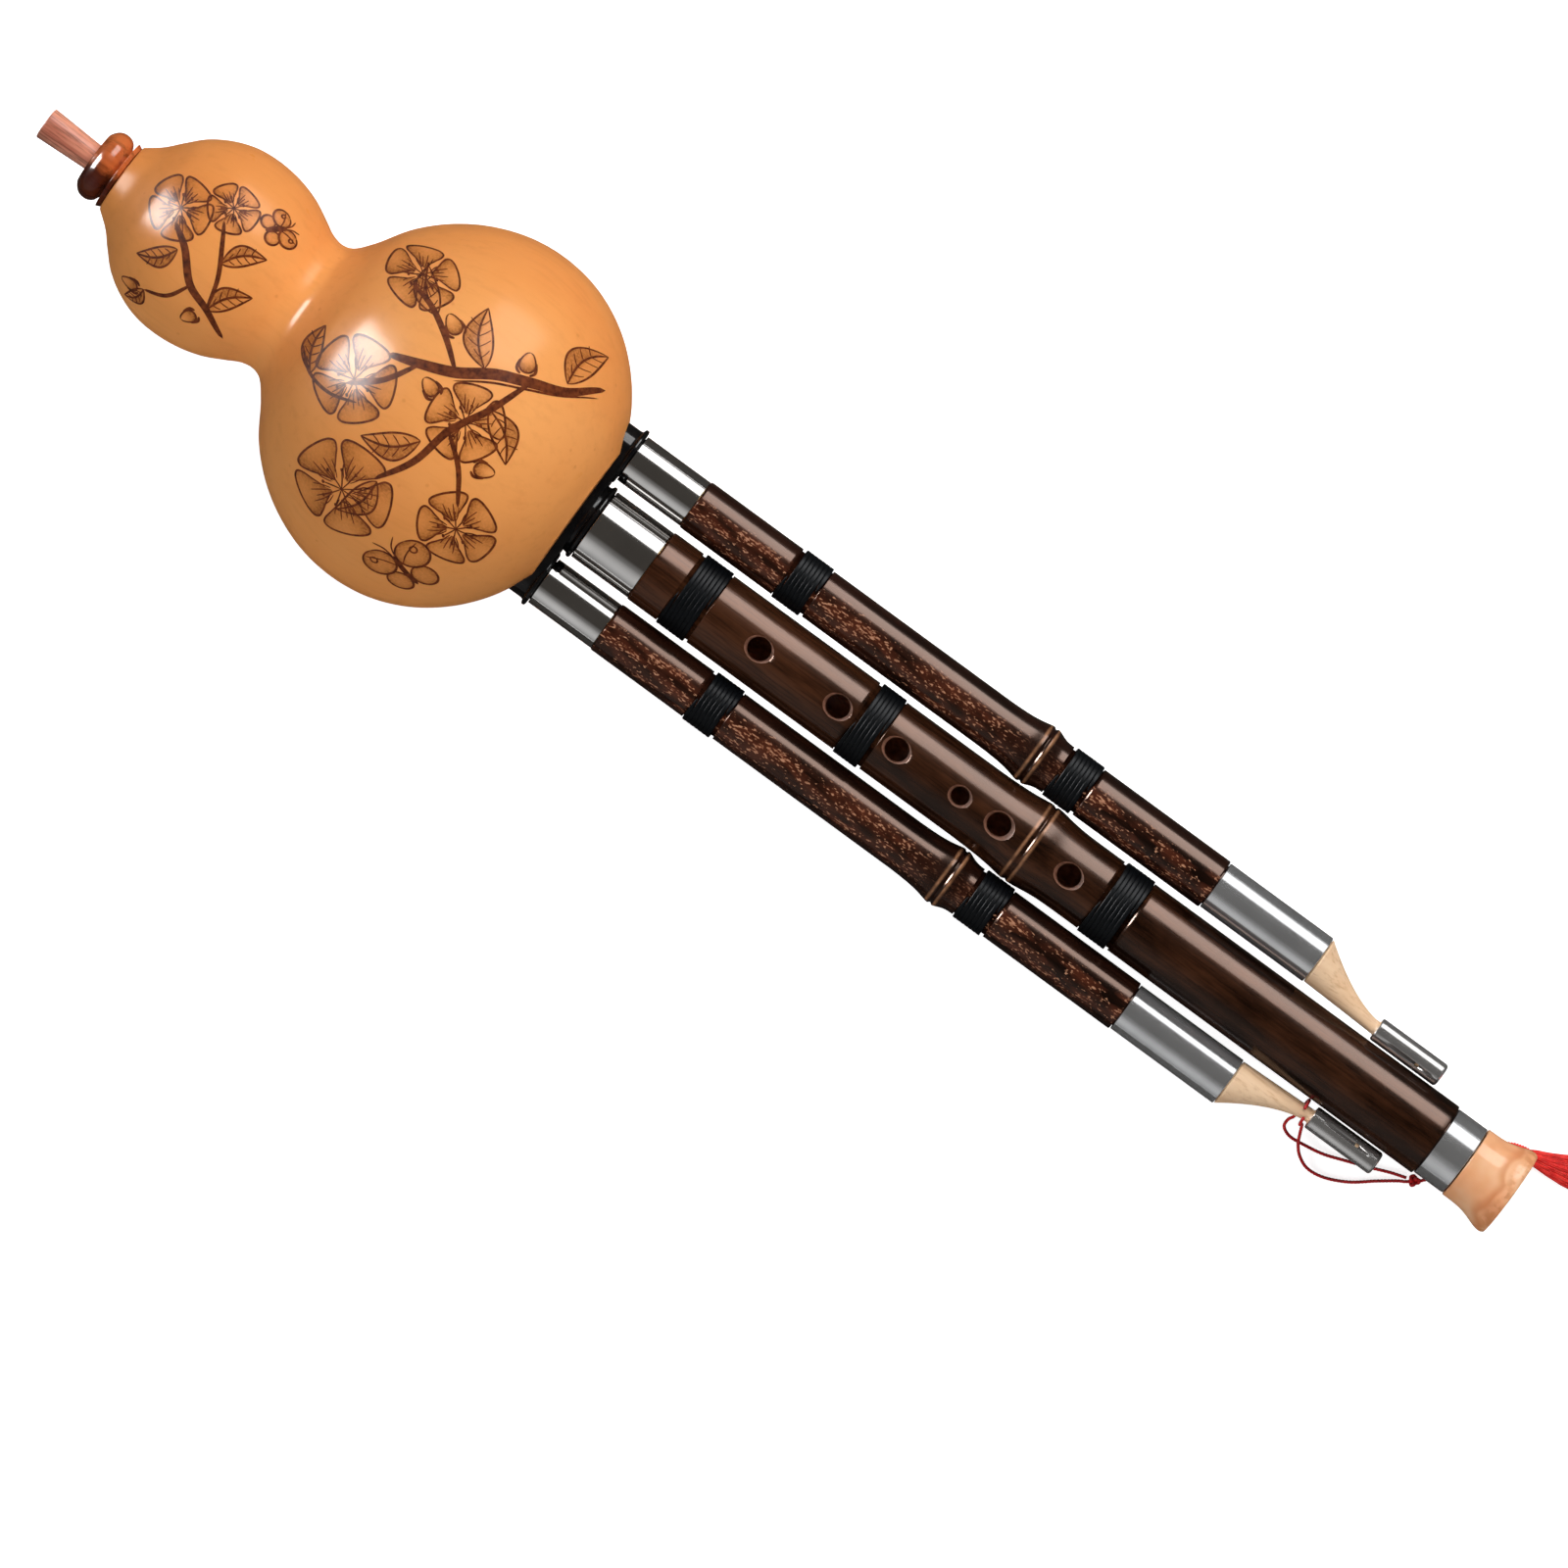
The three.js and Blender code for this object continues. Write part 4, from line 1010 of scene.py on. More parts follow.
def bud(centre, size, turn):
    """A drop with two sepals, shaded from its stem."""
    t = np.linspace(0, 2 * np.pi, 13)
    line = columns(np.cos(t) * 0.6, np.sin(t) * 0.42 * (1 - 0.3 * np.cos(t)))
    cup = np.array([[-0.75, 0.25], [-0.5, 0.5], [0.1, 0.45]])
    rows = np.linspace(-0.6, 0.6, 10)
    half = 0.40 * np.sqrt(np.clip(1 - (rows / 0.6) ** 2, 0, 1)) * (1 - 0.45 * rows)
    wash = 0.85 * np.exp(-(((rows[:, None] + 0.6) / 0.55) ** 2)) + 0.35 * spread**2
    shades = [shape(columns(rows, 0), half, wash)]
    return placed([(line, 0.5), (cup, 0.75), (cup * [1, -1], 0.75)], shades, centre, size, turn)


def leaf(centre, size, turn):
    """A pointed leaf: darker on one side of its rib, with four pairs of veins."""
    t = np.linspace(0, 1, 13)
    rib = columns(t, 0.13 * np.sin(np.pi * t))
    half = 0.23 * np.sin(np.pi * t**0.85)
    half[-1] = 0
    wash = (0.28 + 0.45 * (spread > 0)) * np.sin(np.pi * t)[:, None] ** 0.5
    wash = wash + 0.5 * np.exp(-((spread / 0.16) ** 2)) + 0.5 * np.exp(-((t[:, None] / 0.18) ** 2))
    shades = [shape(rib, half, wash)]
    edge = columns(0, half)
    lines = [(rib + edge, 0.55), (rib - edge, 0.55), (rib, 0.6)]
    for k in (2, 4, 6, 8):
        for sign in (1, -1):
            tip = rib[k] + [0.13, sign * half[k] * 0.85]
            lines.append((np.array([rib[k], (rib[k] + tip) / 2 + [0, sign * 0.012], tip]), 0.3))
    return placed(lines, shades, centre, size, turn)


def butterfly(centre, size, turn):
    """Two pairs of wings, dark at the body and at the rim, with a spot, a vein and feelers."""
    t = np.linspace(0, 2 * np.pi, 17)
    lines, shades = [], []
    rows = np.linspace(-1, 1, 12)
    round_half = np.sqrt(np.clip(1 - rows**2, 0, 1))
    for sign in (1, -1):
        fore = columns(0.34 + 0.42 * np.cos(t), sign * (0.55 + 0.5 * np.sin(t)))
        hind = columns(-0.38 + 0.34 * np.cos(t), sign * (0.42 + 0.36 * np.sin(t)))
        feeler = np.array([[0.42, 0.03 * sign], [0.72, 0.12 * sign], [0.98, 0.34 * sign]])
        spot = columns(0.46 + 0.1 * np.cos(t), sign * (0.66 + 0.1 * np.sin(t)))
        vein = np.array([[0.1, 0.06 * sign], [0.4, 0.4 * sign], [0.62, 0.86 * sign]])
        lines += [(fore, 0.6), (hind, 0.6), (feeler, 0.4), (spot, 0.5), (vein, 0.4)]
        for middle, reach in (((0.34, 0.55), (0.42, 0.5)), ((-0.38, 0.42), (0.34, 0.36))):
            axis = columns(middle[0] + reach[0] * rows, sign * middle[1])
            wash = 0.35 + 0.6 * np.maximum(np.abs(spread) ** 3, np.abs(rows[:, None]) ** 3)
            shades.append(shape(axis, reach[1] * round_half, wash))
    lines.append((np.array([[-0.62, 0], [-0.1, 0.02], [0.45, 0]]), 1.6))
    return placed(lines, shades, centre, size, turn)


# %% The plum branch, laid out over both lobes
branches = [
    ([[150, 35], [143, 27], [135, 23.5], [127, 20], [119, 14.5], [111, 11], [103, 8]], 2.9),
    ([[135, 23.5], [131, 12], [126, 2], [123.5, -9], [118, -19]], 1.9),
    ([[119, 14.5], [112, 20], [104, 24.5], [97.5, 26]], 1.6),
    ([[126, 2], [133, -4], [138.5, -12.5]], 1.3),
    ([[111, 11], [106, 2.5], [99, -4]], 1.4),
    ([[150, 31.2], [142.6, 25.2], [134.6, 21.2], [127.2, 17.6], [119.6, 12.4]], 0.6),
    ([[67, -17], [60, -12], [53.5, -9], [47, -2], [41.5, 1.5]], 2.0),
    ([[53.5, -9], [50, -15.5], [44.5, -18.5]], 1.1),
    ([[60, -12], [58, -3.5], [54, 4], [51, 9]], 1.2),
    ([[84, -4], [90, -8], [97, -8.5], [104, -6]], 0.9),
]
motif_places = {
    leaf: (
        (142, 29, 17, 1.35), (124, 19.5, 16, 2.1), (122, -4, 15, 3.7), (131, 12, 14, -0.7),
        (107, 23, 14, 2.3), (119, -19, 15, 4.4), (60, -12, 12, 0.9), (56.5, 0, 11, 0.7),
        (46, -3.5, 11, 3.9), (90, -8, 12, 1.9), (44.5, -18.5, 9, 4.3)),
    blossom: (
        (113, -27, 13, 0.3), (141, -17.5, 9.5, 1.1), (98, 30, 9.5, 2.0), (128, 6, 9.5, 0.7),
        (100, -2, 10.5, 1.7), (40.5, 5, 8, 0.2), (51, 13, 6.5, 1.3)),
    bud: (
        (111.5, 24, 4.6, 2.6), (131.5, 27.5, 4.6, 1.9), (116, 8, 4.2, 2.8), (40.5, -20.5, 4.2, 3.4),
        (57.2, -17.0, 3.8, 4.2), (138.5, -1.0, 4.2, 0.3)),
    butterfly: ((136, -37, 9.5, 2.6), (62.5, 15.5, 5.2, 0.8))}
motifs = [
    motif(np.array([along, round_it]), size, turn)
    for motif, places in motif_places.items() for along, round_it, size, turn in places]
LINE_LIFT, WASH_LIFT, WASH_LIFTS = 0.07, 0.03, 0.02


def joined_slabs(name, slabs):
    """One mesh of many slabs. Each is (flat grid, wash, lift); the wash goes into the UV map."""
    points, quads, uvs, count = [], [], [], 0
    for flat, wash, lift in slabs:
        solid = laid_on(flat, lift)
        rows, cols = solid.shape[:2]
        faces = faces_of(rows, cols, False)
        value = np.concatenate([wash, wash[:, [-1, 0]]], axis=1).reshape(-1)
        points.append(world(solid).reshape(-1, 3))
        quads.append(faces + count)
        uvs.append(columns(value[faces], 0 * value[faces]))
        count += rows * cols
    thing = make_mesh(name, np.vstack(points), np.vstack(quads), np.vstack(uvs), merge=0.0005)
    thing.data.uv_layers["place"].name = "wash"
    thing.data.set_sharp_from_angle(angle=math.radians(50))
    dress(thing, "wind_chest", "gourd_lacquer")
    return thing


strokes = [(np.array(line), width) for line, width in branches]
strokes += [line for lines, _ in motifs for line in lines]
shades = [shade for _, shapes in motifs for shade in shapes]
ribbons = [stroke(line, width) for line, width in strokes]
burnt_drawing = joined_slabs(
    "burnt_drawing", [(flat, np.ones(flat.shape[:2]), LINE_LIFT) for flat in ribbons])
burnt_washes = joined_slabs("burnt_washes", [
    (flat, wash, WASH_LIFT + WASH_LIFTS * number / len(shades))
    for number, (flat, wash) in enumerate(shades)])
print("drawing of", len(strokes), "strokes and", len(shades), "shaded shapes")

# %% Burnt line material
paint(burnt_drawing, cloudy(
    "burnt line", 700.0, 3.0, (0.32, (0.065, 0.014, 0.005)), (0.68, (0.21, 0.048, 0.013)),
    relief=(0.3, 0.05), Coat_Weight=0.13, Coat_Roughness=0.18, Coat_IOR=1.4, Roughness=0.5,
    Specular_IOR_Level=0.03))
paint(burnt_washes, gourd_lacquer)

# %% [markdown]
# ## The base block
# A black horn block closes the gourd's end and holds all three pipes. Its outline is a boat round
# the three pipes, and at each pipe it ends in a spool with a turned rim. It is polished, so it
# needs soft edges that catch the light.

# %% Base block
PLATE_END = 163.7
BLOCK_START = 154.9
REED_TUBES = {"main": 5.5, "left": 3.6, "right": 3.6}
SPIGOTS = {"main": 8.7, "left": 5.6, "right": 5.6}
spool_ends = {name: span(f"{name}_upper_ferrule")[0][0] - CLEARANCE for name in pipe_sides}
SPOOLS = {"main": (9.6, 10.4), "left": (6.6, 7.75), "right": (6.6, 7.75)}


def boat_outline(inset):
    """The hull of three circles: in each direction, the farthest point of whichever reaches most."""
    angle = circle(256)
    way = columns(np.sin(angle), np.cos(angle))
    centres = np.array([[side, 0] for side in pipe_sides.values()])
    radii = np.array([neck + inset for neck, _ in SPOOLS.values()])
    most = (way @ centres.T + radii).argmax(axis=1)
    return centres[most] + radii[most][:, None] * way


def block_grid():
    """The boat outline carried along the axis; near both ends it shrinks by an eased corner."""
    rows = eased([[BLOCK_START, 0.0], [PLATE_END, 0.0], [PLATE_END, -6.0], [BLOCK_START, -6.0]], 0.5)
    return np.stack([
        np.concatenate([np.full((256, 1), along), boat_outline(inset)], axis=1) for along, inset in rows])


block_skin = grid_mesh("block_skin", block_grid(), True)


def spool_outline(name):
    """Neck, a cove, then a rounded rim at the end, and the spigot that goes on into the ferrule."""
    neck, rim = SPOOLS[name]
    end = spool_ends[name]
    spigot, bore = SPIGOTS[name], REED_TUBES[name] + CLEARANCE
    edge = [
        [BLOCK_START + 0.4, neck], [end - 1.9, neck], [end - 1.35, neck + 0.15 * (rim - neck)],
        [end - 0.95, rim - 0.12], [end - 0.55, rim], [end - 0.18, rim - 0.1], [end, rim - 0.5],
        [end, spigot]]
    rest = eased([[end + 3.8, spigot], [end + 3.8, bore], [BLOCK_START + 0.4, bore]], 0.2)
    return np.vstack([flat_spline(edge[1:7], 5), [edge[7]], rest, [edge[0]]])


spools = [turn(f"spool_{name}", spool_outline(name), side) for name, side in pipe_sides.items()]
base_block = joined("base_block", [block_skin, *spools])
dress(base_block, "wind_chest", "black_horn", "gourd_base")

# %% Horn material
paint(base_block, cloudy(
    "black horn", 130.0, 4.0, (0.4, (0.003, 0.003, 0.0035)), (0.75, (0.010, 0.009, 0.0085)), (0.14, 0.08),
    Coat_Weight=0.25, Coat_Roughness=0.06, Specular_IOR_Level=0.08))

# %% [markdown]
# ## Metal tubes
# The upper ferrules are mirror-polished, the lower ones and the tail ring are satin. A plain metal
# looks dead without small faults, so each has fine lathe lines round it and faint fingerprints.

# %% Metal materials


def metal(name, colour, roughness, spread, line_depth, metallic):
    """Metal with lathe lines round it: noise that changes fast along the axis and slowly across.
    A satin finish scatters a part of the light, so its metallic value is below 1."""
    material, tree, shader = new_material(name, Metallic=metallic)
    lines = noise(tree, own_place(tree, 0.0, (1, 0.03, 0.03)), 2600.0, 1.0)
    smudges = group(tree, handled, Vector=own_place(tree), Base=roughness, Amount=spread)
    dull = tuple(0.86 * value for value in colour)
    wire(shader, ramp(tree, smudges["Smudges"], (0.35, dull), (0.65, colour)), smudges["Roughness"],
         bump(tree, lines, 0.02, line_depth))
    return material


mirror = metal("polished metal", (0.80, 0.785, 0.77), 0.10, 0.02, 0.0008, 1.0)
satin = metal("satin metal", (0.72, 0.73, 0.74), 0.16, 0.02, 0.0004, 0.84)

# %% Ferrules and tail ring
DRONE_SLEEVE = (6.5, 5.9)
SLEEVES = {
    "main_upper_ferrule": (9.7, 9.0), "left_upper_ferrule": DRONE_SLEEVE,
    "right_upper_ferrule": DRONE_SLEEVE, "left_lower_ferrule": DRONE_SLEEVE,
    "right_lower_ferrule": DRONE_SLEEVE, "tail_ring": (9.5, 8.6)}
pipe_bodies = {
    "main": "main_pipe_set", "tail": "main_pipe_set", "left": "left_drone_set", "right": "right_drone_set"}
for node, (outer, inner) in SLEEVES.items():
    pipe, polished = node.split("_")[0], "upper" in node
    low, high = span(node)
    outline = tube_outline(low[0], high[0], outer, inner, 0.22 if polished else 0.2)
    sleeve = turn(node.rsplit("_", 1)[0] + "_sleeve", outline, pipe_sides.get(pipe, 0.0))
    body = "wind_chest" if polished else pipe_bodies[pipe]
    dress(sleeve, body, "polished_metal" if polished else "satin_metal", node)
    paint(sleeve, mirror if polished else satin)

# %% [markdown]
# ## Brass inside
# The reed tubes, their plates and the tenon tubes already have their true shape in the CAD model,
# so those nodes stay and only get brass.

# %% Brass
brass = cloudy(
    "brass", 120.0, 4.0, (0.35, (0.42, 0.27, 0.09)), (0.7, (0.78, 0.56, 0.24)), (0.26, 0.18), Metallic=1.0)
for name in pipe_sides:
    for part_name in ("reed_tube", "reed_plate", "tenon_tube"):
        paint(frame["nodes"][f"{name}_{part_name}"], brass)

# %% [markdown]
# ## Bamboo pipes
# Each pipe is one length of bamboo with a node. A node is a ridge that rises slowly on one side and
# fast on the other, with a narrow valley where the leaf sheath grew. The tail is turned down to
# hold a metal ring, and shallow grooves take the thread bindings.

# %% Pipe profiles
GROOVE = 0.55
BAND_MARGIN = 0.25
SOCKET = 8.0
NODE_SHARPNESS = 0.32
# Rise of a node, and how far it reaches before and after its middle.
MAIN_RIDGE, DRONE_RIDGE = (1.05, 17.0, 14.0), (1.35, 13.0, 6.2)
MAIN_BORE, MAIN_TAIL, MAIN_SOCKET = 6.3, 8.3, 9.0
DRONE_BORE, DRONE_TAIL, DRONE_SOCKET = 3.9, 5.6, 5.9
HEAD = pipes_at - CLEARANCE + 0.06
main_length, drone_length = main_end - pipes_at, drone_end - pipes_at
main_node, drone_node = pipes_at + 0.4826 * main_length, pipes_at + 0.659 * drone_length


def groove(node):
    """Where the groove for a winding starts and ends."""
    low, high = span(node)
    return low[0] - BAND_MARGIN, high[0] + BAND_MARGIN


def node_rise(offset, before, after):
    """Rise of the node: 1/(1 + (d/(0.32 before))^2), less its value at the far end, before it; a
    Gaussian after it; and a narrow valley at the node itself."""
    far = 1 / (1 + 1 / NODE_SHARPNESS**2)
    slow = (1 / (1 + (np.minimum(offset, 0) / (NODE_SHARPNESS * before)) ** 2) - far) / (1 - far)
    fast = np.exp(-((np.maximum(offset, 0) / (0.45 * after)) ** 2))
    valley = 0.40 * np.exp(-((offset / 0.42) ** 2))
    return np.clip(np.where(offset < 0, slow, fast), 0, 1) - valley


def pipe_skin(radius, node_at, rise, before, after, bands, end):
    """Radius at each place along: the bamboo's own, plus its node, minus its grooves."""
    places = np.unique(np.concatenate([
        np.linspace(pipes_at + 0.4, end - 0.4, 150), node_at + np.linspace(-before, after, 90)]))
    size = radius + rise * node_rise(places - node_at, before, after)
    inside = np.zeros(len(places), bool)
    for low, high in bands:
        inside |= (places > low - 0.05) & (places < high + 0.05)
    skin = columns(places, size)[~inside]
    steps = [[[low, radius], [low, radius - GROOVE], [high, radius - GROOVE], [high, radius]]
             for low, high in bands]
    whole = np.vstack([skin, *steps])
    return whole[np.argsort(whole[:, 0], kind="stable")]


def pipe_profile(radius, bore, skin, end, tail_radius, tail_end, socket_radius):
    """Head, skin, shoulder and tail outside; bore and socket inside."""
    edge = [[HEAD, radius - 0.3], [HEAD + 0.1, radius - 0.08]]
    tail = eased([[end, tail_radius], [tail_end, tail_radius], [tail_end, bore], [pipes_at + SOCKET, bore],
                  [pipes_at + SOCKET, socket_radius], [HEAD, socket_radius]], 0.15)
    return np.vstack([edge, skin, [[end - 0.1, radius - 0.06], [end, radius - 0.3]], tail])


# %% Main pipe
FINGER_HOLES = {0.14: 3.1, 0.24: 3.1, 0.315: 3.1, 0.3955: 2.4, 0.445: 3.1, 0.534: 3.1}
REAR_HOLES = {0.099: 3.2, 0.664: 3.0, 0.74: 3.0}
MAIN_PIPE_LENGTH = 237.9
BEVEL_WIDTH, BEVEL_DEPTH = 0.75, 0.65
main_bands = [groove(f"main_binding_{k}") for k in (1, 2, 3)]
main_pipe_end = span("main_pipe")[1][0]
main_skin = pipe_skin(MAIN_RADIUS, main_node, *MAIN_RIDGE, main_bands, main_end)
main_pipe = turn("main_bamboo", pipe_profile(
    MAIN_RADIUS, MAIN_BORE, main_skin, main_end, MAIN_TAIL, main_pipe_end, MAIN_SOCKET), 0, 160)


def rod(name, along, side, turned, height, wide, count):
    """A turned drill that points that far round from the front: height and wide are its profile."""
    angle = circle(count)
    aside, ahead = wide[:, None] * np.sin(angle), height[:, None] + 0 * angle
    return grid_mesh(name, columns(along + wide[:, None] * np.cos(angle),
        side + aside * math.cos(turned) + ahead * math.sin(turned),
        ahead * math.cos(turned) - aside * math.sin(turned)))


def cutter(name, share, radius, front):
    """A drill with a funnel where it meets the skin: inside it is as wide as the hole."""
    skin, wide = MAIN_RADIUS, radius + BEVEL_WIDTH
    height = np.array([2.0, 2.0, skin - BEVEL_DEPTH, skin - 0.12, skin + 0.6, skin + 0.6])
    width = np.array([0.0, radius, radius, wide - 0.1, wide + 0.35, 0.0])
    return rod(name, pipes_at + share * MAIN_PIPE_LENGTH, 0.0, 0.0, front * height, width, 72)


cutters = [
    cutter(f"drill_{front}_{share}", share, radius, front)
    for front, holes in ((1, FINGER_HOLES), (-1, REAR_HOLES)) for share, radius in holes.items()]

# %% [markdown]
# ## Bamboo materials
# Both kinds of bamboo are polished dark brown with fine lengthwise fibres. The main pipe is even;
# the drones carry the long reddish and golden flecks of mottled bamboo, and are plain near their
# node. At a node the skin is paler. The bevels of the finger holes cut through the dark skin, and
# there the raw pinkish-tan bamboo shows.

# %% Bamboo


def stretched_noise(tree, side, along_scale, scale, detail, roughness):
    """Noise whose patches are long along the pipe."""
    return noise(tree, own_place(tree, side, (along_scale, 1, 1)), scale, detail, roughness)


def near_place(tree, along, place, before, after):
    """1 at that place along the pipe, falling to 0 at before and after it, in millimetres."""
    offset = math_node(tree, "SUBTRACT", along, place * MM)
    up = remap(tree, offset, -before * MM, 0.0, kind="SMOOTHSTEP")
    down = remap(tree, offset, 0.0, after * MM, 1.0, 0.0, "SMOOTHSTEP")
    return math_node(tree, "MULTIPLY", up, down)


MOTTLED_TURN = math.radians(14)


def mottled(tree, tone, where, along, side, node_at):
    """Reddish patches and long golden flecks on one side of a pipe, but not near its node."""
    small = stretched_noise(tree, side, 0.42, 2000.0, 1.0, 0.5)
    cluster = stretched_noise(tree, side, 0.30, 380.0, 2.0, 0.5)
    turned = (0.0, -math.sin(MOTTLED_TURN), math.cos(MOTTLED_TURN))
    middle = add(tree, "ShaderNodeVectorMath", {0: where, 1: turned}, operation="DOT_PRODUCT")
    band = remap(tree, middle.outputs["Value"], 0.0046, 0.0062, kind="SMOOTHSTEP")
    away = math_node(tree, "SUBTRACT", 1.0, near_place(tree, along, node_at, 16, 14), clamp=True)
    band = math_node(tree, "MULTIPLY", band, away)
    patch = remap(tree, cluster, 0.40, 0.62, 0.0, 0.85)
    tone = mix_colour(tree, math_node(tree, "MULTIPLY", patch, band), tone, (0.075, 0.019, 0.009))
    spotted = math_node(tree, "MULTIPLY_ADD", math_node(tree, "SUBTRACT", cluster, 0.5), 0.6, small)
    fleck = remap(tree, spotted, 0.60, 0.68)
    pale = ramp(tree, small, (0.54, (0.20, 0.062, 0.030)), (0.74, (0.50, 0.25, 0.145)))
    return mix_colour(tree, math_node(tree, "MULTIPLY", fleck, band), tone, pale)


def bamboo(name, side, dark, warm, node_at, flecks):
    """Polished bamboo: fibres, slow changes of tone, pale lines at the node and, if asked, flecks."""
    material, tree, shader = new_material(
        name, Coat_Weight=0.06, Coat_Roughness=0.12, Specular_IOR_Level=0.30,
        Specular_Tint=(1.0, 0.66, 0.52, 1))
    where = own_place(tree, side)
    along = parts_of(tree, where)["X"]
    grain = group(tree, fibres, Vector=where, Fineness=1500.0, Stretch=0.05)
    slow = stretched_noise(tree, side, 0.35, 150.0, 3.0, 0.6)
    slow = math_node(tree, "ADD", slow, remap(tree, along, 0.190, 0.340, 0.16, -0.06))
    choice = math_node(
        tree, "MULTIPLY_ADD", math_node(tree, "SUBTRACT", grain["Streaks"], 0.5), 0.7, slow)
    tone = ramp(tree, choice, (0.32, dark), (0.74, warm))
    lines = ramp(tree, grain["Fibres"], (0.36, (0.42, 0.38, 0.36)), (0.54, 1))
    tone = mix_colour(tree, 0.8, tone, lines, "MULTIPLY")
    if flecks:
        tone = mottled(tree, tone, where, along, side, node_at)
    ridge = near_place(tree, along, node_at - 1.3, 0.7, 0.6)
    ridge_after = near_place(tree, along, node_at + 0.9, 0.5, 0.8)
    uneven = remap(tree, noise(tree, where, 260.0, 3.0), 0.35, 0.6, 0.35, 1.0)
    pale = math_node(tree, "MULTIPLY", math_node(tree, "MAXIMUM", ridge, ridge_after), uneven)
    wire(shader, mix_colour(tree, pale, tone, (0.36, 0.17, 0.085)), touched(tree, where, 0.20, 0.08),
         bump(tree, grain["Fibres"], 0.22, 0.05))
    return material


main_bamboo = bamboo(
    "main bamboo", 0, (0.0065, 0.0021, 0.0008), (0.058, 0.020, 0.0085), main_node, False)
cut_bamboo, tree, shader = new_material("cut bamboo", Roughness=0.6, Specular_IOR_Level=0.12)
grain = group(tree, fibres, Vector=own_place(tree), Fineness=1500.0, Stretch=0.03)
wire(shader, ramp(tree, grain["Fibres"], (0.3, (0.13, 0.052, 0.030)), (0.7, (0.27, 0.125, 0.080))))
bore_bamboo = cloudy(
    "bore", 500.0, 3.0, (0.3, (0.34, 0.145, 0.075)), (0.7, (0.56, 0.28, 0.16)), Roughness=0.7)

# %% Drill the holes


def cut(thing, drills):
    """Takes the drills out of a piece; the faces they leave keep the drills' own finish."""
    box = bpy.data.collections.new("drills")
    bpy.context.scene.collection.children.link(box)
    for drill in drills:
        box.objects.link(drill)
        bpy.context.scene.collection.objects.unlink(drill)
    holes = thing.modifiers.new("holes", "BOOLEAN")
    holes.operand_type, holes.collection = "COLLECTION", box
    holes.solver, holes.material_mode = "EXACT", "TRANSFER"
    bpy.context.view_layer.update()
    graph = bpy.context.evaluated_depsgraph_get()
    drilled = bpy.data.meshes.new_from_object(thing.evaluated_get(graph), depsgraph=graph)
    thing.modifiers.clear()
    thing.data = drilled
    for drill in drills:
        bpy.data.objects.remove(drill)
    bpy.data.collections.remove(box)


BORE_SKIN = 6.6
paint(main_pipe, main_bamboo)
main_pipe.data.materials.append(bore_bamboo)
middles = np.empty(3 * len(main_pipe.data.polygons))
main_pipe.data.polygons.foreach_get("center", middles)
middles = (middles.reshape(-1, 3) - TIP) @ own_ways.T / MM
in_bore = np.hypot(middles[:, 1], middles[:, 2]) < BORE_SKIN
main_pipe.data.polygons.foreach_set("material_index", in_bore.astype(np.int32))
for drill in cutters:
    paint(drill, cut_bamboo)
cut(main_pipe, cutters)
dress(main_pipe, "main_pipe_set", "main_pipe_wood", "main_pipe")
print("main pipe", len(main_pipe.data.polygons), "faces", [slot.name for slot in main_pipe.data.materials])

# %% Drone pipes
for name in ("left", "right"):
    side = pipe_sides[name]
    bands = [groove(f"{name}_binding_{k}") for k in (1, 2)]
    skin = pipe_skin(DRONE_RADIUS, drone_node, *DRONE_RIDGE, bands, drone_end)
    tail_end = span(f"{name}_drone_pipe")[1][0]
    drone = turn(f"{name}_drone_bamboo", pipe_profile(
        DRONE_RADIUS, DRONE_BORE, skin, drone_end, DRONE_TAIL, tail_end, DRONE_SOCKET), side)
    paint(drone, bamboo(
        f"{name} mottled bamboo", side, (0.007, 0.0028, 0.0018), (0.026, 0.0080, 0.0042), drone_node, True))
    dress(drone, f"{name}_drone_set", "drone_wood", f"{name}_drone_pipe")

# %% [markdown]
# ## Thread bindings
# Each binding is one lacquered thread, wound seven or so times with the turns touching. As a tube
# along a helix it has the true ridges, and the thread's ends slip under at both sides.

# %% Windings
THREAD_PITCH, THREAD_HIGH, THREAD_WIDE, THREAD_LIFT = 1.15, 0.44, 0.585, 0.02
BANDS = {
    "main_binding_1": 7, "main_binding_2": 6, "main_binding_3": 7, "left_binding_1": 7,
    "left_binding_2": 7, "right_binding_1": 7, "right_binding_2": 7}


def winding(name, turns):
    """A helix just above the groove. Its section is a squarish ellipse that fills the pitch: cosine
    to the power 0.16 across the thread, so that the turns meet in narrow, shallow valleys."""
    low, high = span(name)
    pipe = name.split("_")[0]
    radius = MAIN_RADIUS if pipe == "main" else DRONE_RADIUS
    share = np.linspace(0, 1, 40 * turns + 1)[:, None]
    angle = 2 * np.pi * turns * share
    middle = (low[0] + high[0]) / 2 + (share - 0.5) * turns * THREAD_PITCH
    around = circle(14)[None, :]
    ends = np.clip(np.minimum(share, 1 - share) * turns / 0.12, 0, 1) ** 0.5
    cosine = np.cos(around)
    out = radius + THREAD_LIFT + THREAD_HIGH * ends * np.sign(cosine) * np.abs(cosine) ** 0.16
    along = middle + THREAD_WIDE * ends * np.sin(around)
    grid = columns(along, pipe_sides[pipe] - out * np.sin(angle), out * np.cos(angle))
    return grid_mesh(f"{name}_thread", grid)


lacquered_thread = cloudy(
    "lacquered thread", 1800.0, 3.0, (0.3, (0.0010, 0.0013, 0.0017)), (0.72, (0.0042, 0.0052, 0.0066)),
    relief=(0.35, 0.05), Coat_Weight=0.015, Coat_Roughness=0.20, Roughness=0.40, Specular_IOR_Level=0.07)
for name, turns in BANDS.items():
    thread = winding(name, turns)
    paint(thread, lacquered_thread)
    dress(thread, pipe_bodies[name.split("_")[0]], "black_thread", name)

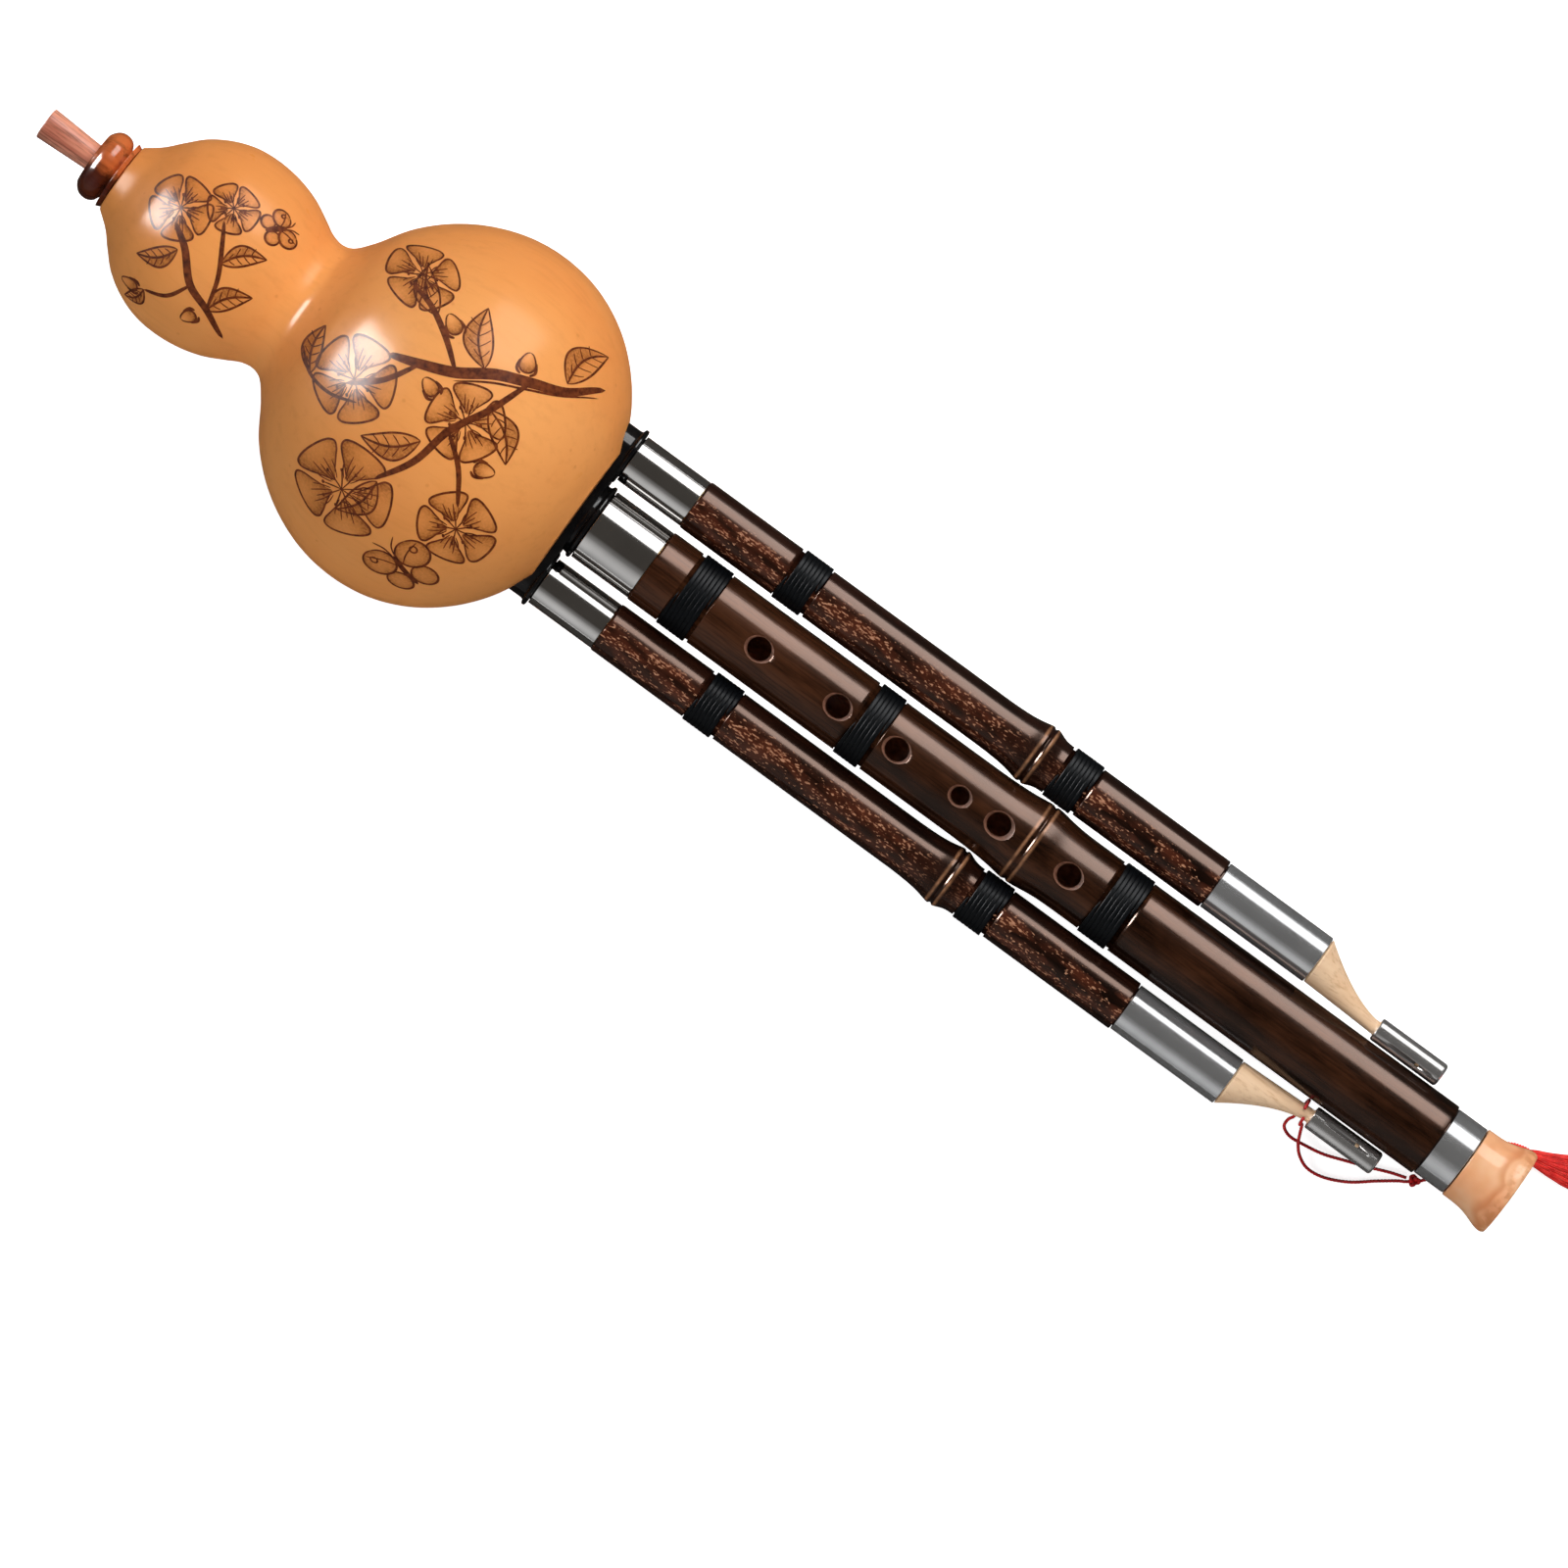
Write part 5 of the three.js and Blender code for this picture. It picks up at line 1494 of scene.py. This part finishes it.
# %% [markdown]
# ## Stoppers and switch caps
# Each drone ends in a pale wooden stopper. It is scooped on its outer side, so that its stem lies
# nearer the main pipe. A metal cap with a small hole slides on the stem's nozzle: pushed in, it
# silences the drone.

# %% Stoppers
NOZZLE, STOPPER_BORE, PLUG = 2.3, 1.2, 5.6
stopper_ends = span("left_stopper")


def stopper_grid(side):
    """Circles whose radius falls as (1 - share)^1.6 while their inner edge follows a straight line."""
    share = np.linspace(0, 1, 36)
    cone = columns(stopper_at + 0.12 + share * (STOPPER_CONE - 0.12), stopper_radius(share))
    plug = [[stopper_ends[0][0], PLUG - 0.3], [stopper_ends[0][0] + 0.3, PLUG], [stopper_at, PLUG],
            [stopper_at, STOPPER_RIM - 0.12]]
    tip = stopper_ends[1][0]
    stem = [[cap_at - 0.25, STOPPER_NECK], [cap_at, NOZZLE - 0.1], [cap_at + 0.15, NOZZLE],
            [tip - 0.3, NOZZLE], [tip, NOZZLE - 0.3], [tip, STOPPER_BORE]]
    outside = np.vstack([plug, cone, stem])
    inside = columns(np.linspace(tip - 0.05, stopper_ends[0][0], 40), np.full(40, STOPPER_BORE))
    outline = np.vstack([outside, inside])
    middle = stopper_middle(cone_share(outline[:, 0]))[:, None]
    points = ring_points(outline, 0.0, 72)
    points[..., 1] += math.copysign(1, side) * middle
    return points


pale_wood, tree, shader = new_material(
    "pale wood", Coat_Weight=0.04, Coat_Roughness=0.3, Specular_IOR_Level=0.15)
where = own_place(tree)
grain = group(tree, fibres, Vector=where, Fineness=1100.0, Stretch=0.05)
tone = ramp(tree, grain["Streaks"], (0.3, (0.82, 0.53, 0.31)), (0.7, (0.94, 0.68, 0.45)))
pores = ramp(tree, grain["Fibres"], (0.34, (0.72, 0.62, 0.52)), (0.5, 1))
wire(shader, mix_colour(tree, 0.6, tone, pores, "MULTIPLY"), touched(tree, where, 0.48, 0.10),
     bump(tree, grain["Fibres"], 0.25, 0.06))

# %% Switch caps
CAP_RADIUS, CAP_WALL = 3.1, 0.5
HOLE_ALONG, HOLE_RADIUS, HOLE_TURN = 13.0, 0.6, math.radians(25)


def cap_profile():
    """A drawn tube: a rolled rim at the open end, a rounded shoulder and a flat closed end."""
    inner = CAP_RADIUS - CAP_WALL
    rim = [[cap_at, inner + 0.05], [cap_at + 0.05, CAP_RADIUS - 0.15], [cap_at + 0.35, CAP_RADIUS]]
    turn_in = np.linspace(0, np.pi / 2, 8)
    shoulder = columns(cap_end - 0.8 + 0.8 * np.sin(turn_in), CAP_RADIUS - 0.8 + 0.8 * np.cos(turn_in))
    back = [[cap_end, 0.0], [cap_end - 0.8, 0.0], [cap_end - 0.8, inner - 0.1], [cap_at + 0.1, inner]]
    return np.vstack([rim, [[cap_at + 1.5, CAP_RADIUS], [cap_end - 1.4, CAP_RADIUS]], shoulder, back])


def cap_drill(side):
    """The thin rod for a cap's small side hole; it points 25 degrees round from the front."""
    height = np.array([1.0, 1.0, CAP_RADIUS + 0.5, CAP_RADIUS + 0.5])
    wide = np.array([0.0, HOLE_RADIUS, HOLE_RADIUS, 0.0])
    return rod("drill", cap_at + HOLE_ALONG, math.copysign(STEM_SIDE, side),
               -math.copysign(HOLE_TURN, side), height, wide, 32)


rolled_metal = metal("rolled metal", (0.70, 0.69, 0.68), 0.16, 0.03, 0.0005, 0.86)
for name in ("left", "right"):
    side = pipe_sides[name]
    stopper = grid_mesh(f"{name}_wood_stopper", stopper_grid(side), True)
    paint(stopper, pale_wood)
    dress(stopper, f"{name}_drone_set", "stopper_wood", f"{name}_stopper")
    cap = turn(f"{name}_cap", cap_profile(), math.copysign(STEM_SIDE, side), 72)
    paint(cap, rolled_metal)
    cut(cap, [cap_drill(side)])
    dress(cap, f"{name}_switch", "polished_metal", f"{name}_switch_cap")

# %% [markdown]
# ## The bell
# The bell is a short flared ring of peach-coloured stone-like resin. It is glossy and a little
# translucent, with orange-brown patches near its rim.

# %% Bell
BELL_NECK, BELL_RIM, BELL_SOCKET = 9.8, 11.8, 8.6
BELL_THROAT, BELL_FLARE, SOCKET_DEPTH = 6.6, 3.9, 3.5


def bell_profile():
    """Outside rises as the square of a sine; inside, the throat opens as share^1.6."""
    share = np.linspace(0, 1, 44)
    rise = np.sin(np.pi / 2 * np.clip(share / 0.92, 0, 1) ** 1.8) ** 2
    over = np.clip((share - 0.92) / 0.08, 0, 1)
    radius = BELL_NECK + rise * (BELL_RIM - BELL_NECK) - 0.45 * over**2
    outside = columns(bell_at + share * (bell_end - bell_at), radius)
    inner_at = bell_at + SOCKET_DEPTH
    inside = np.linspace(1, 0, 26)
    throat = columns(inner_at + inside * (bell_end - inner_at), BELL_THROAT + BELL_FLARE * inside**1.6)
    lip = [[bell_end, 11.1], [bell_end, 10.75]]
    return np.vstack([outside[1:], lip, throat, [[inner_at, 7.0], [inner_at, BELL_SOCKET]],
                      [[bell_at, BELL_SOCKET], [bell_at, BELL_NECK - 0.2], [bell_at + 0.2, BELL_NECK]]])


bell = turn("peach_bell", bell_profile(), 0, 128)
dress(bell, "main_pipe_set", "bell_stone", "bell")
peach, tree, shader = new_material(
    "peach stone", Coat_Weight=0.22, Coat_Roughness=0.04, Specular_IOR_Level=0.06, Subsurface_Weight=0.15,
    Subsurface_Scale=0.002, Subsurface_Radius=(1.0, 0.5, 0.25))
where = own_place(tree)
along = parts_of(tree, where)["X"]
tone = ramp(tree, noise(tree, where, 75.0, 3.0, 0.5), (0.32, (0.78, 0.33, 0.155)),
            (0.5, (0.91, 0.44, 0.22)), (0.72, (0.96, 0.57, 0.33)))
rim = near_place(tree, along, bell_end - 1.2, 3.4, 2.5)
patches = math_node(tree, "MULTIPLY", rim, ramp(tree, noise(tree, where, 330.0), (0.46, 0), (0.58, 1)))
tone = mix_colour(tree, math_node(tree, "MULTIPLY", patches, 0.5), tone, (0.60, 0.20, 0.055))
wander = math_node(tree, "MULTIPLY_ADD", noise(tree, where, 60.0, 2.0), 0.016, along)
vein = near_place(tree, wander, bell_end + 4.6, 3.2, 1.4)
tone = mix_colour(tree, math_node(tree, "MULTIPLY", vein, 0.5), tone, (0.66, 0.20, 0.06))
wire(shader, tone, touched(tree, where, 0.24, 0.08))
paint(bell, peach)

# %% [markdown]
# ## Floor, light and finish
# The floor is white to the camera and in reflections, and a pale grey to the light, so it keeps
# the instrument's shadow. From below it is clear, so that the underside can be looked at. Polished
# tubes on a white floor lose their edges, so a photographer lays a dark card beside them: this one
# is seen only in reflections. The room itself is dim, and dimmest overhead, with a soft glow at the
# picture's lower left. The key light shapes the gourd, and the fill opens its shadows. What shines
# is a matter of its own: a softbox at the picture's upper right, seen only in gloss, draws the band
# along each pipe, and another to the left makes the pale glow on each of the gourd's lobes. Metal
# mirrors them too strongly, so both leave it out, and it has a weaker streak lamp to itself.

# %% Floor
FLOOR_HEIGHT, CARD_HEIGHT = -0.00045, -0.00043
FLOOR_HALF, CARD_HALF = (3.0, 3.0), (1.3, 1.0)


def sheet(name, half_length, half_width, height):
    """A level rectangle below the part, in metres."""
    corner = [(x * half_length, y * half_width, height) for x, y in ((-1, -1), (1, -1), (1, 1), (-1, 1))]
    mesh = bpy.data.meshes.new(name)
    mesh.from_pydata(corner, [], [(0, 1, 2, 3)])
    thing = new_object(name, mesh)
    return thing


def emptied(block):
    """The node tree of a material or a world, without its first nodes."""
    block.use_nodes = True
    block.node_tree.nodes.clear()
    return block.node_tree


def chosen(tree, factor, first, second):
    """One of two shaders, or a mix of both."""
    return add(tree, "ShaderNodeMixShader", {
        "Fac": factor, 1: first.outputs[0], 2: second.outputs[0]})


floor = sheet("floor", *FLOOR_HALF, FLOOR_HEIGHT)
pale_floor = bpy.data.materials.new("pale floor")
tree = emptied(pale_floor)
diffuse = add(tree, "ShaderNodeBsdfDiffuse", {"Color": (0.82, 0.82, 0.83, 1)})
white = add(tree, "ShaderNodeEmission", {"Color": (1, 1, 1, 1), "Strength": 0.80})
both = add(tree, "ShaderNodeAddShader", {0: diffuse.outputs[0], 1: white.outputs[0]})
path = add(tree, "ShaderNodeLightPath").outputs
seen = math_node(tree, "MAXIMUM", path["Is Camera Ray"], path["Is Glossy Ray"])
seen = math_node(tree, "MAXIMUM", seen, path["Is Transmission Ray"])
from_below = add(tree, "ShaderNodeNewGeometry").outputs["Backfacing"]
clear = add(tree, "ShaderNodeBsdfTransparent")
surface = chosen(tree, from_below, chosen(tree, seen, diffuse, both), clear)
add(tree, "ShaderNodeOutputMaterial", {"Surface": surface.outputs[0]})
paint(floor, pale_floor)

# %% The dark card
card = sheet("card", *CARD_HALF, CARD_HEIGHT)
card.visible_camera = card.visible_diffuse = card.visible_transmission = card.visible_shadow = False
black_card = bpy.data.materials.new("black card")
tree = emptied(black_card)
diffuse = add(tree, "ShaderNodeBsdfDiffuse", {"Color": (0.06, 0.056, 0.052, 1)})
add(tree, "ShaderNodeOutputMaterial", {"Surface": diffuse.outputs[0]})
paint(card, black_card)

# %% World
OVERHEAD, AROUND = 0.055, 0.24
GLOW_WAY = (-0.531, -0.7263, 0.44)
world_data = bpy.data.worlds.new("studio")
tree = emptied(world_data)
direction = add(tree, "ShaderNodeTexCoord").outputs["Generated"]


def facing(way):
    """The cosine of the angle between the direction of view and that way."""
    return add(tree, "ShaderNodeVectorMath", {0: direction, 1: tuple(way)},
               operation="DOT_PRODUCT").outputs["Value"]


around = ramp(tree, facing(towards), (0.10, AROUND), (0.60, (0.10, 0.097, 0.094)),
              (0.90, (OVERHEAD, OVERHEAD * 0.90, OVERHEAD * 0.80)))
low_left = GLOW_WAY[0] * picture_right + GLOW_WAY[1] * picture_up + GLOW_WAY[2] * towards
glow = ramp(tree, facing(low_left), (0.78, 0), (0.92, 0.13), (1.0, 0.40))
dim = add(tree, "ShaderNodeBackground", {"Color": mix_colour(tree, 1.0, around, glow, "ADD")})
bright = add(tree, "ShaderNodeBackground", {"Color": (1, 1, 1, 1)})
surface = chosen(tree, add(tree, "ShaderNodeLightPath").outputs["Is Camera Ray"], dim, bright)
add(tree, "ShaderNodeOutputWorld", {"Surface": surface.outputs[0]})
bpy.context.scene.world = world_data

# %% Softboxes
BAND_WAY = (0.510, 0.698, 0.502)
# Target, way (right, up, towards the camera), distance and size in metres, power in watts, and
# whether the lamp gives soft light and whether it is seen in gloss.
LAMPS = {
    "key": (aim, (0.366, 0.50, 0.78), 1.5, (1.2, 0.8), 19.4, True, False),
    "fill": (aim, (-0.40, -0.55, 0.73), 1.8, (1.2, 1.0), 8.6, True, False),
    "band": (aim, BAND_WAY, 1.5, (0.90, 1.05), 38, False, True),
    "glow": (world([95, 0, 0]), (-0.775, 0.505, 0.375), 1.3, (0.80, 0.70), 180, False, True),
    "streak": (aim, BAND_WAY, 1.5, (0.90, 1.05), 5.2, False, True)}


def softbox(name, target, picture_way, distance, size, power, lights, shines):
    """A lamp that faces the target; its long side lies along the instrument."""
    away = mathutils.Vector(picture_way[0] * picture_right + picture_way[1] * picture_up
                            + picture_way[2] * towards).normalized()
    across = away.cross(mathutils.Vector(along_way)).normalized()
    lamp_data = bpy.data.lights.new(name, "AREA")
    lamp_data.shape = "RECTANGLE"
    lamp_data.size, lamp_data.size_y = size
    lamp_data.energy = power
    lamp = new_object(name, lamp_data)
    turned_to = mathutils.Matrix([across.cross(away), across, away]).transposed().to_4x4()
    turned_to.translation = mathutils.Vector(target) + away * distance
    lamp.matrix_world = turned_to
    lamp.visible_diffuse, lamp.visible_glossy = lights, shines
    return lamp


lamps = {name: softbox(name, *values) for name, values in LAMPS.items()}
metal_things = bpy.data.collections.new("metal things")
all_but_metal = bpy.data.collections.new("all but metal")
for thing in bpy.data.objects:
    if thing.name.endswith(("_sleeve", "_cap")):
        metal_things.objects.link(thing)
        all_but_metal.objects.link(thing)
for member in all_but_metal.collection_objects:
    member.light_linking.link_state = "EXCLUDE"
for name, lit in (("streak", metal_things), ("band", all_but_metal), ("glow", all_but_metal)):
    lamps[name].light_linking.receiver_collection = lit

# %% Render settings that belong to the look
bpy.context.scene.view_settings.view_transform = "Standard"

# %% The end
bpy.context.view_layer.update()
